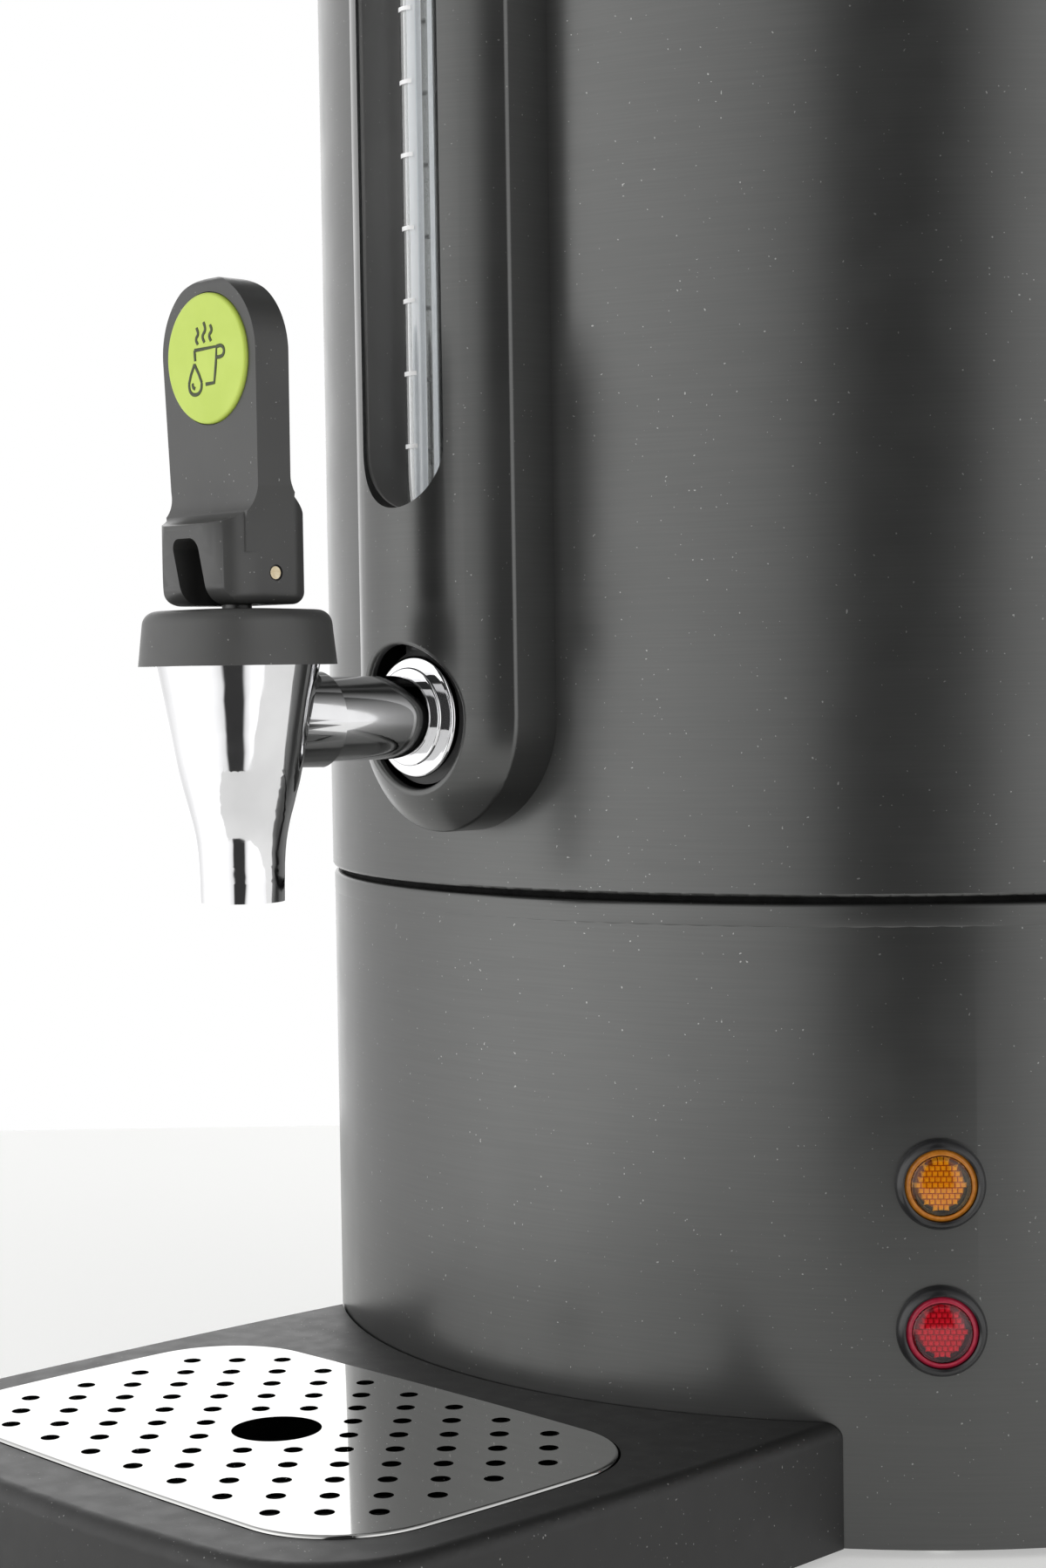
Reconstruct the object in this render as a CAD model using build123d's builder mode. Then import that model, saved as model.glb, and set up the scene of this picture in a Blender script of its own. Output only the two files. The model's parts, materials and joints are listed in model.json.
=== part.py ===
from build123d import *
import os
from math import asin, cos, radians, sin, sqrt

# An electric coffee urn: a round double-walled body on a base with the electrics, a gauge
# column and a tap on the front, a drip tray below the tap, a lid and two side handles.
# Millimetres, +Z up. The origin lies on the table under the axis of the body; the tap
# points to -Y.

# ---- driving dimensions --------------------------------------------------------------------------
# body
body_radius = 135.0
foot_height = 2.0
seam_height = 133.4  # top of the base
seam_gap = 1.2  # dark joint between the base and the upper shell
shell_top = 436.0  # upper edge of the upper shell
base_wall = 2.5
shell_wall = 1.0
skirt_step = 0.4  # how far the upper shell stands proud of the base
curl_depth = 3.5  # inward curl at the lower edge of the upper shell
jacket_gap = 16.4  # between the upper shell and the tank
tank_wall = 1.0
tank_rise = 12.6  # from the seam up to the underside of the tank
slide_gap = 0.4  # between pieces that move past each other
seat_gap = 0.15  # between pieces that are pushed together

# base
plate_thickness = 2.5
boss_radius = 6.0
boss_height = 26.0
screw_radius = 1.6
screw_head = 1.4
screw_length = 12.0  # in the boss
foot_radius = 9.0
foot_inset = 27.0  # centre of a foot inside the body's surface
foot_count = 4
vent_circle = 62.0
vent_count = 16
vent_length = 26.0
vent_width = 4.0

# lamps
lamp_angle = 45.0  # from the tap towards +X
upper_lamp_z = 76.7
lamp_pitch = 29.8
lens_radius = 7.4
bezel_radius = 9.2
bezel_height = 2.6
lamp_depth = 26.0
lamp_nut_radius = 11.0

# rear panel with the mains inlet and the switch
panel_width = 96.0
panel_height = 48.0
panel_z = 50.0
panel_stand = 2.5  # how far its face stands off the body
panel_wall = 3.0
panel_lip = 4.0  # how far it laps over the edge of its opening
panel_corner = 6.0
panel_depth = 16.0
panel_box_wall = 1.85
inlet_offset = 20.0
inlet_width = 27.0
inlet_height = 20.0
inlet_depth = 18.0
socket_width = 23.0
socket_height = 15.5
socket_depth = 15.0
pin_reach = 9.5
switch_offset = -23.0
switch_width = 22.0
switch_height = 30.0
rocker_angle = 12.0
rocker_pivot = 4.0  # pivot's axis behind the panel's face
rocker_pivot_radius = 1.5

# gauge column
column_half_width = 24.8
column_nose_radius = 33.0
column_nose_inset = 12.3  # centre of the nose inside the body's surface
column_rise = 33.0  # top of the column above the slot
column_wall = 2.2
slot_half_width = 13.0
slot_rise = 43.9  # from the tap's shank up to the slot
slot_drop = 54.0  # from the shell's upper edge down to the slot
slot_floor_stand = 6.5  # floor of the slot outside the body's surface
gauge_radius = 4.1
gauge_wall = 1.0
gauge_stand = 11.7  # axis of the tube outside the body's surface
gauge_dip = 10.8  # tube below the slot
gauge_overlap = 6.0  # tube above the slot
scale_width = 9.0
scale_offset = 1.5  # scale to the left of the middle
scale_thickness = 0.5

# tap
tap_reach = 62.2  # valve axis outside the body's surface
tap_rise = 38.5  # from the seam up to the shank's axis
nipple_radius = 8.75
shank_radius = 8.0
shank_bore = 5.0
flange_radius = 12.9
flange_stand = 16.35  # front of the flange outside the body's surface
flange_thickness = 3.0
pocket_radius = 15.3
pocket_round = 1.0  # rounded edge of the pocket round the flange
spout_rise = 11.3  # top of the spout's cone above the shank's axis
spout_top_radius = 16.4
spout_knee_drop = 9.2  # lower end of the cone below the shank's axis
spout_knee_radius = 12.55
spout_neck_drop = 23.1
spout_neck_radius = 9.2
spout_tip_drop = 36.0
spout_tip_radius = 8.5
outlet_radius = 6.6
seat_drop = 11.9  # lower edge of the seat below the shank's axis
seat_height = 6.0
chamber_radius = 9.6
bonnet_radius = 19.9
bonnet_top_radius = 19.0
bonnet_height = 11.3
bonnet_wall = 2.4
collar_radius = 15.4  # threaded collar of the tap body inside the bonnet
stem_radius = 3.0
gasket_thickness = 2.0
spring_radius = 5.6
spring_wire = 0.9
spring_turns = 4

# lever, measured from its pin
pin_rise = 6.8  # pin above the bonnet
pin_radius = 1.25
lever_foot = 6.1  # pin to underside
lever_toe = 10.1  # pin to the lower front edge
lever_front = 13.3  # pin to the upper front edge of the block
lever_back = 9.5
lever_half_width = 13.0
lever_cam_radius = 5.0
lever_edge = 2.5  # rounded lower edge of the block
lever_block_top = 9.6
lever_waist = 11.4
lever_neck = 17.0
lever_height = 58.8
paddle_front = 5.0
paddle_back = 2.9
paddle_half_width = 15.3
paddle_lean = 1.3  # how far the paddle's front comes forward towards its top
lever_slot = 8.4
lever_slot_top = 7.0
lever_slot_corner = 2.4
pin_recess = 0.6
disc_radius = 12.9
disc_height = 42.7
disc_thickness = 1.8

# drip tray and drip plate
tray_half_width = 81.0
tray_reach = 108.5  # front corners of the tray outside the body's surface
tray_nose = 7.5  # how far the front bows out
tray_side_bow = 1.5
tray_corner = 30.0
tray_top_z = 27.0
tray_slope = 0.6
tray_wall = 2.5
tray_edge = 3.5
basin_floor_z = 8.0
plate_reach = 56.2  # middle of the drip plate outside the body's surface
plate_half_x = 69.9
plate_half_y = 43.5
plate_corner = 23.0
plate_bow = 1.5
plate_rim = 3.0
plate_sheet = 0.8
plate_stand = 0.6
hole_pitch_x = 14.565
hole_pitch_y = 7.085
drain_hole = 1.95
cup_hole = 9.25
tray_pad_radius = 6.0

# top: rim, lid, handles
rim_height = 8.0
rim_skirt = 8.0  # how far the rim reaches down over the shell
rim_stand = 3.0  # rim outside the body's surface
rim_lap = 3.0  # rim inside the tank's wall
rim_bevel = 3.0
lid_inset = 1.0  # edge of the lid inside the body's surface
lid_rise = 20.0
lid_wall = 1.4
lid_skirt = 12.0
knob_radius = 21.0
knob_height = 32.0
handle_drop = 51.0  # from the shell's upper edge down to the handles' middle
handle_reach = 43.5
handle_half_length = 56.0
handle_depth = 24.0
handle_grip = 14.0
handle_foot = 5.0  # thickness of the part that lies on the body
handle_corner = 24.0
handle_round = 5.0
handle_screw_angle = 20.0
handle_screw_radius = 2.4

# coffee maker inside the tank
pump_radius = 28.0
pump_height = 9.0
riser_radius = 5.0
riser_drop = 12.0  # from the shell's upper edge down to the riser's end
basket_radius = 62.0
basket_drop = 86.0  # from the shell's upper edge down to the basket's floor
basket_height = 56.0
basket_wall = 1.0

# electrics under the tank
heater_radius = 74.0
heater_thickness = 4.0
element_inset = 20.0  # heating element's circle inside the heater plate's edge
element_tube = 4.0
element_leg = 22.0
element_tab = 9.0
thermostat_radius = 12.0
thermostat_height = 18.0
thermostat_cap = 7.0
thermostat_width = 18.0
thermostat_depth = 14.0
cutout_radius = 8.0
cutout_height = 12.0
cutout_place = 30.0  # towards the tap
tab_length = 8.0
tab_width = 6.3
tab_thickness = 0.8
small_tab_width = 4.8
terminal_place = 62.0  # towards the back
terminal_width = 56.0
terminal_depth = 22.0
terminal_height = 16.0
terminal_pitch = 11.0
terminal_hole = 3.0
terminal_hole_depth = 6.0

# ---- values that follow --------------------------------------------------------------------------
base_bottom = foot_height
deck_z = base_bottom + plate_thickness  # top of the base plate
deck_radius = body_radius - base_wall - seat_gap
boss_circle = body_radius - base_wall - boss_radius + 1.0
shell_bottom = seam_height + seam_gap
shell_radius = body_radius + skirt_step
shell_inner = shell_radius - shell_wall
tank_radius = shell_inner - jacket_gap
tank_floor = seam_height + tank_rise
foot_circle = body_radius - foot_inset
tap_y = -body_radius - tap_reach
tap_z = seam_height + tap_rise  # axis of the shank
flange_front_y = -body_radius - flange_stand
flange_back_y = flange_front_y + flange_thickness
spout_top_z = tap_z + spout_rise
spout_knee_z = tap_z - spout_knee_drop
spout_neck_z = tap_z - spout_neck_drop
spout_tip_z = tap_z - spout_tip_drop
seat_z = tap_z - seat_drop
seat_top_z = seat_z + seat_height
bonnet_z = spout_top_z
bonnet_top_z = bonnet_z + bonnet_height
pin_z = bonnet_top_z + pin_rise
column_nose_center = body_radius - column_nose_inset
slot_bottom = tap_z + slot_rise
slot_top = shell_top - slot_drop
slot_floor_y = -body_radius - slot_floor_stand
column_top = slot_top + column_rise
gauge_y = -body_radius - gauge_stand
gauge_bottom = slot_bottom - gauge_dip
gauge_top = slot_top + gauge_overlap
tray_front = body_radius + tray_reach
plate_y = -body_radius - plate_reach
rim_z = shell_top + rim_height
rim_outer = body_radius + rim_stand
rim_inner = tank_radius - rim_lap
lid_edge_radius = body_radius - lid_inset
handle_z = shell_top - handle_drop
riser_top = shell_top - riser_drop
basket_bottom = shell_top - basket_drop
element_radius = heater_radius - element_inset
lid_top = rim_z + lid_rise
knob_top = lid_top + knob_height
tap_axis = Axis((0, tap_y, 0), (0, 0, 1))
nut_y = -sqrt((tank_radius - tank_wall) ** 2 - (shank_radius + 5) ** 2) + gasket_thickness

os.makedirs("parts", exist_ok=True)


def finish(piece, name):
    """Label a finished piece and write it."""
    piece.part.label = name
    export_step(piece.part, f"parts/{name}.step")


def front_plane(y, z=0.0):
    """A plane that faces the front, at this depth; its x is +X and its y is +Z."""
    return Plane(origin=(0, y, z), x_dir=(1, 0, 0), z_dir=(0, -1, 0))


def side_plane(y, z):
    """The middle plane of the urn with this point as its origin; its x is +Y and its y is +Z."""
    return Plane(origin=(0, y, z), x_dir=(0, 1, 0), z_dir=(1, 0, 0))


def level(z, y=0.0):
    """A level plane at this height."""
    return Plane(origin=(0, y, z), x_dir=(1, 0, 0), z_dir=(0, 0, 1))


def around(angle, radius, z):
    """A plane that faces outwards at this angle from the tap towards +X."""
    turn = radians(angle)
    out = Vector(sin(turn), -cos(turn), 0)
    return Plane(origin=out * radius + Vector(0, 0, z), x_dir=(cos(turn), sin(turn), 0), z_dir=out)


# ---- base ----------------------------------------------------------------------------------------
with BuildPart() as base_plate:
    with BuildSketch(level(base_bottom)):
        Circle(deck_radius)
        with PolarLocations(vent_circle, vent_count):
            SlotOverall(vent_length, vent_width, mode=Mode.SUBTRACT)
        with PolarLocations(foot_circle, foot_count):
            Circle(foot_radius * 0.45, mode=Mode.SUBTRACT)
        with PolarLocations(boss_circle, 4, start_angle=45):
            Circle(screw_radius + seat_gap, mode=Mode.SUBTRACT)
    extrude(amount=plate_thickness)
finish(base_plate, "base_plate")

with BuildPart() as feet:
    with BuildSketch(level(0)):
        with PolarLocations(foot_circle, foot_count):
            Circle(foot_radius)
    extrude(amount=foot_height)
    fillet(feet.edges().group_by(Axis.Z)[0], radius=0.5)
    with BuildSketch(level(foot_height)):
        with PolarLocations(foot_circle, foot_count):
            Circle(foot_radius * 0.45 - seat_gap)
    extrude(amount=plate_thickness)
    with BuildSketch(level(deck_z)):
        with PolarLocations(foot_circle, foot_count):
            Circle(foot_radius * 0.6)
    extrude(amount=foot_height, taper=15)
finish(feet, "feet")

with BuildPart() as base_screws:
    with BuildSketch(level(base_bottom - screw_head)):
        with PolarLocations(boss_circle, 4, start_angle=45):
            Circle(screw_radius * 2)
    extrude(amount=screw_head)
    fillet(base_screws.edges().group_by(Axis.Z)[0], radius=0.6)
    with BuildSketch(level(base_bottom)):
        with PolarLocations(boss_circle, 4, start_angle=45):
            Circle(screw_radius)
    extrude(amount=plate_thickness + screw_length)
finish(base_screws, "base_screws")

with BuildPart() as base_shell:
    with BuildSketch(level(base_bottom)):
        Circle(body_radius)
    extrude(amount=seam_height - base_bottom)
    fillet(base_shell.edges().group_by(Axis.Z)[-1], radius=1.2)
    with BuildSketch(level(base_bottom)):
        Circle(body_radius - base_wall)
    extrude(amount=seam_height - base_bottom - base_wall, mode=Mode.SUBTRACT)
    with BuildSketch(level(base_bottom)):
        Circle(tank_radius - 8)
    extrude(amount=seam_height - base_bottom, mode=Mode.SUBTRACT)
    with BuildSketch(level(deck_z)):
        with PolarLocations(boss_circle, 4, start_angle=45):
            Circle(boss_radius)
            Circle(screw_radius, mode=Mode.SUBTRACT)
    extrude(amount=boss_height)
    for lamp_z in (upper_lamp_z, upper_lamp_z - lamp_pitch):
        with BuildSketch(around(lamp_angle, body_radius + 5, lamp_z)):
            Circle(lens_radius + seat_gap)
        extrude(amount=-20, mode=Mode.SUBTRACT)
    with BuildSketch(around(180, body_radius + 5, panel_z)):
        Rectangle(panel_width - 2 * panel_lip, panel_height - 2 * panel_lip)
    extrude(amount=-30, mode=Mode.SUBTRACT)
finish(base_shell, "base_shell")

with BuildPart() as seam_ring:
    with BuildSketch(Plane.XZ):
        with BuildLine():
            Polyline(
                (tank_radius - 12, seam_height),
                (body_radius - 1.8, seam_height),
                (body_radius - 1.8, shell_bottom),
                (body_radius - curl_depth - seat_gap, shell_bottom),
                (body_radius - curl_depth - seat_gap, shell_bottom + 6),
                (body_radius - curl_depth - base_wall, shell_bottom + 6),
                (body_radius - curl_depth - base_wall, seam_height + base_wall),
                (tank_radius + base_wall, seam_height + base_wall),
                (tank_radius + base_wall, tank_floor + 5),
                (tank_radius + seat_gap, tank_floor + 5),
                (tank_radius + seat_gap, tank_floor),
                (tank_radius - 12, tank_floor),
                close=True,
            )
        make_face()
    revolve(axis=Axis.Z)
finish(seam_ring, "seam_ring")

# ---- electrics under the tank --------------------------------------------------------------------
with BuildPart() as heater_plate:
    with BuildSketch(level(tank_floor - heater_thickness)):
        Circle(heater_radius)
    extrude(amount=heater_thickness)
    fillet(heater_plate.edges().group_by(Axis.Z)[0], radius=1)
finish(heater_plate, "heater_plate")

element_z = tank_floor - heater_thickness - element_tube
leg_angle = 12.0
with BuildPart() as heating_element:
    with BuildLine() as element_path:
        arc = CenterArc((0, 0, element_z), element_radius, leg_angle, 360 - 2 * leg_angle)
    with BuildSketch(Plane(origin=arc @ 0, z_dir=arc % 0)):
        Circle(element_tube)
    sweep()
    for end in (0, 1):
        foot = arc @ end
        with BuildSketch(Plane(origin=(foot.X, foot.Y, element_z), z_dir=(0, 0, -1))):
            Circle(element_tube)
        extrude(amount=element_leg)
        with BuildSketch(Plane(origin=(foot.X, foot.Y, element_z - element_leg), z_dir=(0, 0, -1))):
            Circle(element_tube * 0.4)
        extrude(amount=element_tab)
finish(heating_element, "heating_element")

heater_under_z = tank_floor - heater_thickness
with BuildPart() as thermostat:
    with BuildSketch(level(heater_under_z - thermostat_cap)):
        Circle(thermostat_radius)
    extrude(amount=thermostat_cap)
    with BuildSketch(level(heater_under_z - thermostat_height)):
        Rectangle(thermostat_width, thermostat_depth)
    extrude(amount=thermostat_height - thermostat_cap)
    with BuildSketch(level(heater_under_z - thermostat_height - tab_length)):
        with GridLocations(thermostat_width * 2 / 3, 0, 2, 1):
            Rectangle(tab_thickness, tab_width)
    extrude(amount=tab_length)
finish(thermostat, "thermostat")

with BuildPart() as thermal_cutout:
    with BuildSketch(level(heater_under_z - cutout_height, -cutout_place)):
        Circle(cutout_radius)
    extrude(amount=cutout_height)
    with BuildSketch(level(heater_under_z - cutout_height - tab_length, -cutout_place)):
        with GridLocations(cutout_radius, 0, 2, 1):
            Rectangle(tab_thickness, small_tab_width)
    extrude(amount=tab_length)
finish(thermal_cutout, "thermal_cutout")

with BuildPart() as terminal_block:
    with BuildSketch(level(deck_z, terminal_place)):
        RectangleRounded(terminal_width, terminal_depth, 2)
    extrude(amount=terminal_height)
    with BuildSketch(level(deck_z + terminal_height, terminal_place)):
        with GridLocations(terminal_pitch, 0, 5, 1):
            Circle(terminal_hole)
    extrude(amount=-terminal_hole_depth, mode=Mode.SUBTRACT)
finish(terminal_block, "terminal_block")

# ---- rear panel ----------------------------------------------------------------------------------
panel_face = body_radius + panel_stand
panel_plane = around(180, panel_face, panel_z)
rocker_y = panel_face - rocker_pivot

with BuildPart() as rear_panel:
    with BuildSketch(panel_plane):
        RectangleRounded(panel_width, panel_height, panel_corner)
    extrude(amount=-panel_depth)
    fillet(rear_panel.faces().sort_by(Axis.Y)[-1].edges(), radius=1.2)
    with BuildSketch(level(0)):
        Circle(body_radius)
    extrude(amount=seam_height, mode=Mode.SUBTRACT)
    box_width = panel_width - 2 * panel_lip - 2 * seat_gap
    box_height = panel_height - 2 * panel_lip - 2 * seat_gap
    with BuildSketch(panel_plane.offset(-panel_wall / 2)):
        Rectangle(box_width, box_height)
    extrude(amount=-panel_depth)
    with BuildSketch(panel_plane.offset(-panel_wall)):
        Rectangle(box_width - 2 * panel_box_wall, box_height - 2 * panel_box_wall)
    extrude(amount=-2 * panel_depth, mode=Mode.SUBTRACT)
    with BuildSketch(panel_plane.offset(1)):
        with Locations((inlet_offset, 0)):
            Rectangle(inlet_width + 2 * seat_gap, inlet_height + 2 * seat_gap)
        with Locations((switch_offset, 0)):
            Rectangle(switch_width + 2 * seat_gap, switch_height + 2 * seat_gap)
    extrude(amount=-10, mode=Mode.SUBTRACT)
finish(rear_panel, "rear_panel")

with BuildPart() as power_inlet:
    with BuildSketch(panel_plane):
        with Locations((inlet_offset, 0)):
            RectangleRounded(inlet_width + 6, inlet_height + 5, 2)
    extrude(amount=2)
    fillet(power_inlet.faces().sort_by(Axis.Y)[-1].edges(), radius=0.6)
    with BuildSketch(panel_plane):
        with Locations((inlet_offset, 0)):
            Rectangle(inlet_width, inlet_height)
    extrude(amount=-inlet_depth)
    with BuildSketch(panel_plane.offset(2)) as socket:
        with Locations((inlet_offset, 0)):
            Rectangle(socket_width, socket_height)
        chamfer(socket.vertices().group_by(Axis.Y)[0], length=4)
    extrude(amount=-socket_depth - 2, mode=Mode.SUBTRACT)
finish(power_inlet, "power_inlet")

with BuildPart() as inlet_pins:
    with BuildSketch(panel_plane.offset(-inlet_depth - 7)):
        with Locations((inlet_offset - 7, -1.5), (inlet_offset, 2.5), (inlet_offset + 7, -1.5)):
            Rectangle(2, 4)
    extrude(amount=7)
    with BuildSketch(panel_plane.offset(-socket_depth)):
        with Locations((inlet_offset - 7, -1.5), (inlet_offset, 2.5), (inlet_offset + 7, -1.5)):
            Rectangle(2, 4)
    extrude(amount=pin_reach)
    fillet(inlet_pins.edges().group_by(Axis.Y)[-1], radius=0.5)
finish(inlet_pins, "inlet_pins")

with BuildPart() as switch_frame:
    with BuildSketch(panel_plane):
        with Locations((switch_offset, 0)):
            RectangleRounded(switch_width + 4, switch_height + 4, 1.5)
    extrude(amount=2)
    fillet(switch_frame.faces().sort_by(Axis.Y)[-1].edges(), radius=0.8)
    with BuildSketch(panel_plane):
        with Locations((switch_offset, 0)):
            Rectangle(switch_width, switch_height)
    extrude(amount=-20)
    with BuildSketch(panel_plane.offset(2)):
        with Locations((switch_offset, 0)):
            Rectangle(switch_width - 4, switch_height - 4)
    extrude(amount=-14, mode=Mode.SUBTRACT)
    with BuildSketch(panel_plane.offset(-20)):
        with Locations((switch_offset, -8), (switch_offset, 0), (switch_offset, 8)):
            Rectangle(small_tab_width, tab_thickness)
    extrude(amount=-tab_length)
    with BuildSketch(Plane(origin=(-switch_offset, rocker_y, panel_z), z_dir=(1, 0, 0))):
        Circle(rocker_pivot_radius + 0.05)
    extrude(amount=switch_width / 2 - 0.5, both=True, mode=Mode.SUBTRACT)
finish(switch_frame, "switch_frame")

rocker_reach = switch_height / 2 - 2 - slide_gap
rocker_face = 4.5
rocker_half = switch_width / 2 - 2
rocker_turn = radians(rocker_angle)
rocker_plane = Plane(
    origin=(-switch_offset, rocker_y, panel_z),
    x_dir=(0, cos(rocker_turn), -sin(rocker_turn)),
    z_dir=(1, 0, 0),
)
with BuildPart() as switch_rocker:
    with BuildSketch(rocker_plane):
        with BuildLine():
            high = sqrt(rocker_reach**2 - rocker_face**2)
            dish = ThreePointArc((rocker_face, high), (rocker_face - 1.2, 0), (rocker_face, -high))
            Polyline(dish @ 1, (-1, -high), (-4, -2.5), (-4, 2.5), (-1, high), dish @ 0)
        make_face()
    extrude(amount=rocker_half - slide_gap, both=True)
    with BuildSketch(rocker_plane):
        Circle(rocker_pivot_radius)
    extrude(amount=rocker_half + 1.2, both=True)
finish(switch_rocker, "switch_rocker")

# ---- lamps: a lens in a domed bezel, with its body and nut behind the wall -----------------------
for lamp_name, lamp_z in (("upper_lamp", upper_lamp_z), ("lower_lamp", upper_lamp_z - lamp_pitch)):
    lamp_turn = radians(lamp_angle)
    lamp_out = Vector(sin(lamp_turn), -cos(lamp_turn), 0)
    lamp_side = Vector(cos(lamp_turn), sin(lamp_turn), 0)
    lamp_section = Plane(origin=(0, 0, lamp_z), x_dir=lamp_side, z_dir=lamp_side.cross(lamp_out))
    lamp_axis = Axis((0, 0, lamp_z), lamp_out)
    rest = body_radius - 1.0
    with BuildPart() as lamp_bezel:
        with BuildSketch(lamp_section):
            with BuildLine():
                edge = Line((bezel_radius, rest), (bezel_radius, body_radius + 0.5))
                dome = ThreePointArc(
                    edge @ 1,
                    (bezel_radius - 0.5, body_radius + bezel_height - 0.7),
                    (lens_radius + 0.4, body_radius + bezel_height),
                )
                Polyline(
                    dome @ 1,
                    (lens_radius, body_radius + bezel_height - 0.3),
                    (lens_radius, rest),
                    edge @ 0,
                )
            make_face()
        revolve(axis=lamp_axis)
        with BuildSketch(level(0)):
            Circle(body_radius)
        extrude(amount=seam_height, mode=Mode.SUBTRACT)
    finish(lamp_bezel, f"{lamp_name}_bezel")

    with BuildPart() as lamp_lens:
        with BuildSketch(lamp_section):
            with BuildLine():
                lens_side = lens_radius - 0.05
                rim = Line((lens_side, rest - 3), (lens_side, body_radius + bezel_height - 0.5))
                dome = TangentArc((0, body_radius + bezel_height + 0.7), rim @ 1, tangent=(1, 0))
                Polyline(dome @ 0, (0, rest - 3), rim @ 0)
            make_face()
        revolve(axis=lamp_axis)
    finish(lamp_lens, f"{lamp_name}_lens")

    with BuildPart() as lamp_body:
        with BuildSketch(around(lamp_angle, rest - 3, lamp_z)):
            Circle(lens_radius - 0.05)
        extrude(amount=-lamp_depth)
        with BuildSketch(around(lamp_angle, rest - 3 - lamp_depth, lamp_z)):
            with GridLocations(6, 0, 2, 1):
                Rectangle(tab_thickness, small_tab_width)
        extrude(amount=-tab_length)
    finish(lamp_body, f"{lamp_name}_body")

    with BuildPart() as lamp_nut:
        with BuildSketch(around(lamp_angle, body_radius - base_wall, lamp_z)):
            RegularPolygon(lamp_nut_radius, 6)
            Circle(lens_radius + seat_gap, mode=Mode.SUBTRACT)
        extrude(amount=-4.5)
        with BuildSketch(level(0)):
            Circle(body_radius)
            Circle(body_radius - base_wall, mode=Mode.SUBTRACT)
        extrude(amount=seam_height, mode=Mode.SUBTRACT)
    finish(lamp_nut, f"{lamp_name}_nut")

# ---- upper body ----------------------------------------------------------------------------------
column_screw_heights = (slot_bottom + 42.2, slot_top - 10.0)
handle_screw_turns = (
    90 - handle_screw_angle,
    90 + handle_screw_angle,
    270 - handle_screw_angle,
    270 + handle_screw_angle,
)

with BuildPart() as outer_shell:
    with BuildSketch(level(shell_bottom)):
        Circle(shell_radius)
    extrude(amount=shell_top - shell_bottom)
    fillet(outer_shell.edges().group_by(Axis.Z)[0], radius=0.9)
    with BuildSketch(level(shell_bottom)):
        Circle(shell_radius - curl_depth)
    extrude(amount=shell_wall, mode=Mode.SUBTRACT)
    with BuildSketch(level(shell_bottom + shell_wall)):
        Circle(shell_inner)
    extrude(amount=shell_top - shell_bottom, mode=Mode.SUBTRACT)
    with BuildSketch(front_plane(-shell_radius - 5, tap_z)):
        Circle(shank_radius + 0.5)
    extrude(amount=-20, mode=Mode.SUBTRACT)
    for screw_z in column_screw_heights:
        with BuildSketch(front_plane(-shell_radius - 5, screw_z)):
            Circle(screw_radius + seat_gap)
        extrude(amount=-20, mode=Mode.SUBTRACT)
    for turn in handle_screw_turns:
        with BuildSketch(around(turn, shell_radius + 5, handle_z)):
            Circle(handle_screw_radius + seat_gap)
        extrude(amount=-20, mode=Mode.SUBTRACT)
finish(outer_shell, "outer_shell")

tank_corner = 5.0
flange_reach = 8.0  # how far the tank's upper edge turns outwards
with BuildPart() as tank:
    with BuildSketch(Plane.XZ):
        with BuildLine():
            under = Line((0, tank_floor), (tank_radius - tank_corner, tank_floor))
            bend = JernArc(under @ 1, (1, 0), tank_corner, 90)
            inner_bend = JernArc(
                (tank_radius - tank_corner, tank_floor + tank_wall), (1, 0), tank_corner - tank_wall, 90
            )
            Polyline(
                bend @ 1,
                (tank_radius, shell_top),
                (tank_radius + flange_reach, shell_top),
                (tank_radius + flange_reach, shell_top + tank_wall),
                (tank_radius - tank_wall, shell_top + tank_wall),
                inner_bend @ 1,
            )
            Polyline(inner_bend @ 0, (0, tank_floor + tank_wall), under @ 0)
        make_face()
    revolve(axis=Axis.Z)
    with BuildSketch(front_plane(-tank_radius - 2, tap_z)):
        Circle(shank_radius + 0.2)
    extrude(amount=-10, mode=Mode.SUBTRACT)
finish(tank, "tank")

with BuildPart() as top_rim:
    with BuildSketch(Plane.XZ):
        with BuildLine():
            Polyline(
                (shell_radius + seat_gap, shell_top - rim_skirt),
                (rim_outer, shell_top - rim_skirt),
                (rim_outer, rim_z - rim_bevel),
                (rim_outer - rim_bevel, rim_z),
                (rim_inner + 2, rim_z),
                (rim_inner, rim_z - 2),
                (rim_inner, shell_top + tank_wall + seat_gap),
                (tank_radius + flange_reach + 1, shell_top + tank_wall + seat_gap),
                (tank_radius + flange_reach + 1, shell_top),
                (shell_radius + seat_gap, shell_top),
                close=True,
            )
        make_face()
    revolve(axis=Axis.Z)
finish(top_rim, "top_rim")

# ---- gauge column --------------------------------------------------------------------------------
column_bore_z = column_top - column_half_width


def column_form(half_width, nose_radius, low, high):
    """The column's outline: flat sides, a rounded nose and a domed half-round end at both ends."""
    lean = asin(half_width / nose_radius)
    shoulder = column_nose_center + nose_radius * cos(lean)
    nose = column_nose_center + nose_radius
    middle = (nose_radius * sin(lean / 2), -column_nose_center - nose_radius * cos(lean / 2))
    back = tank_radius - 5
    with BuildPart() as form:
        with BuildSketch(level(low)):
            with BuildLine():
                front = ThreePointArc((-half_width, -shoulder), (0, -nose), (half_width, -shoulder))
                Polyline(front @ 1, (half_width, -back), (-half_width, -back), front @ 0)
            make_face()
        extrude(amount=high - low)
        for end_z, direction in ((low, 1), (high, -1)):
            with BuildSketch(level(end_z)):
                with BuildLine():
                    front = ThreePointArc((0, -nose), middle, (half_width, -shoulder))
                    Polyline(front @ 1, (half_width, -back), (0, -back), front @ 0)
                make_face()
            revolve(axis=Axis((0, 0, end_z), (0, direction, 0)), revolution_arc=180)
    return form.part


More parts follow.
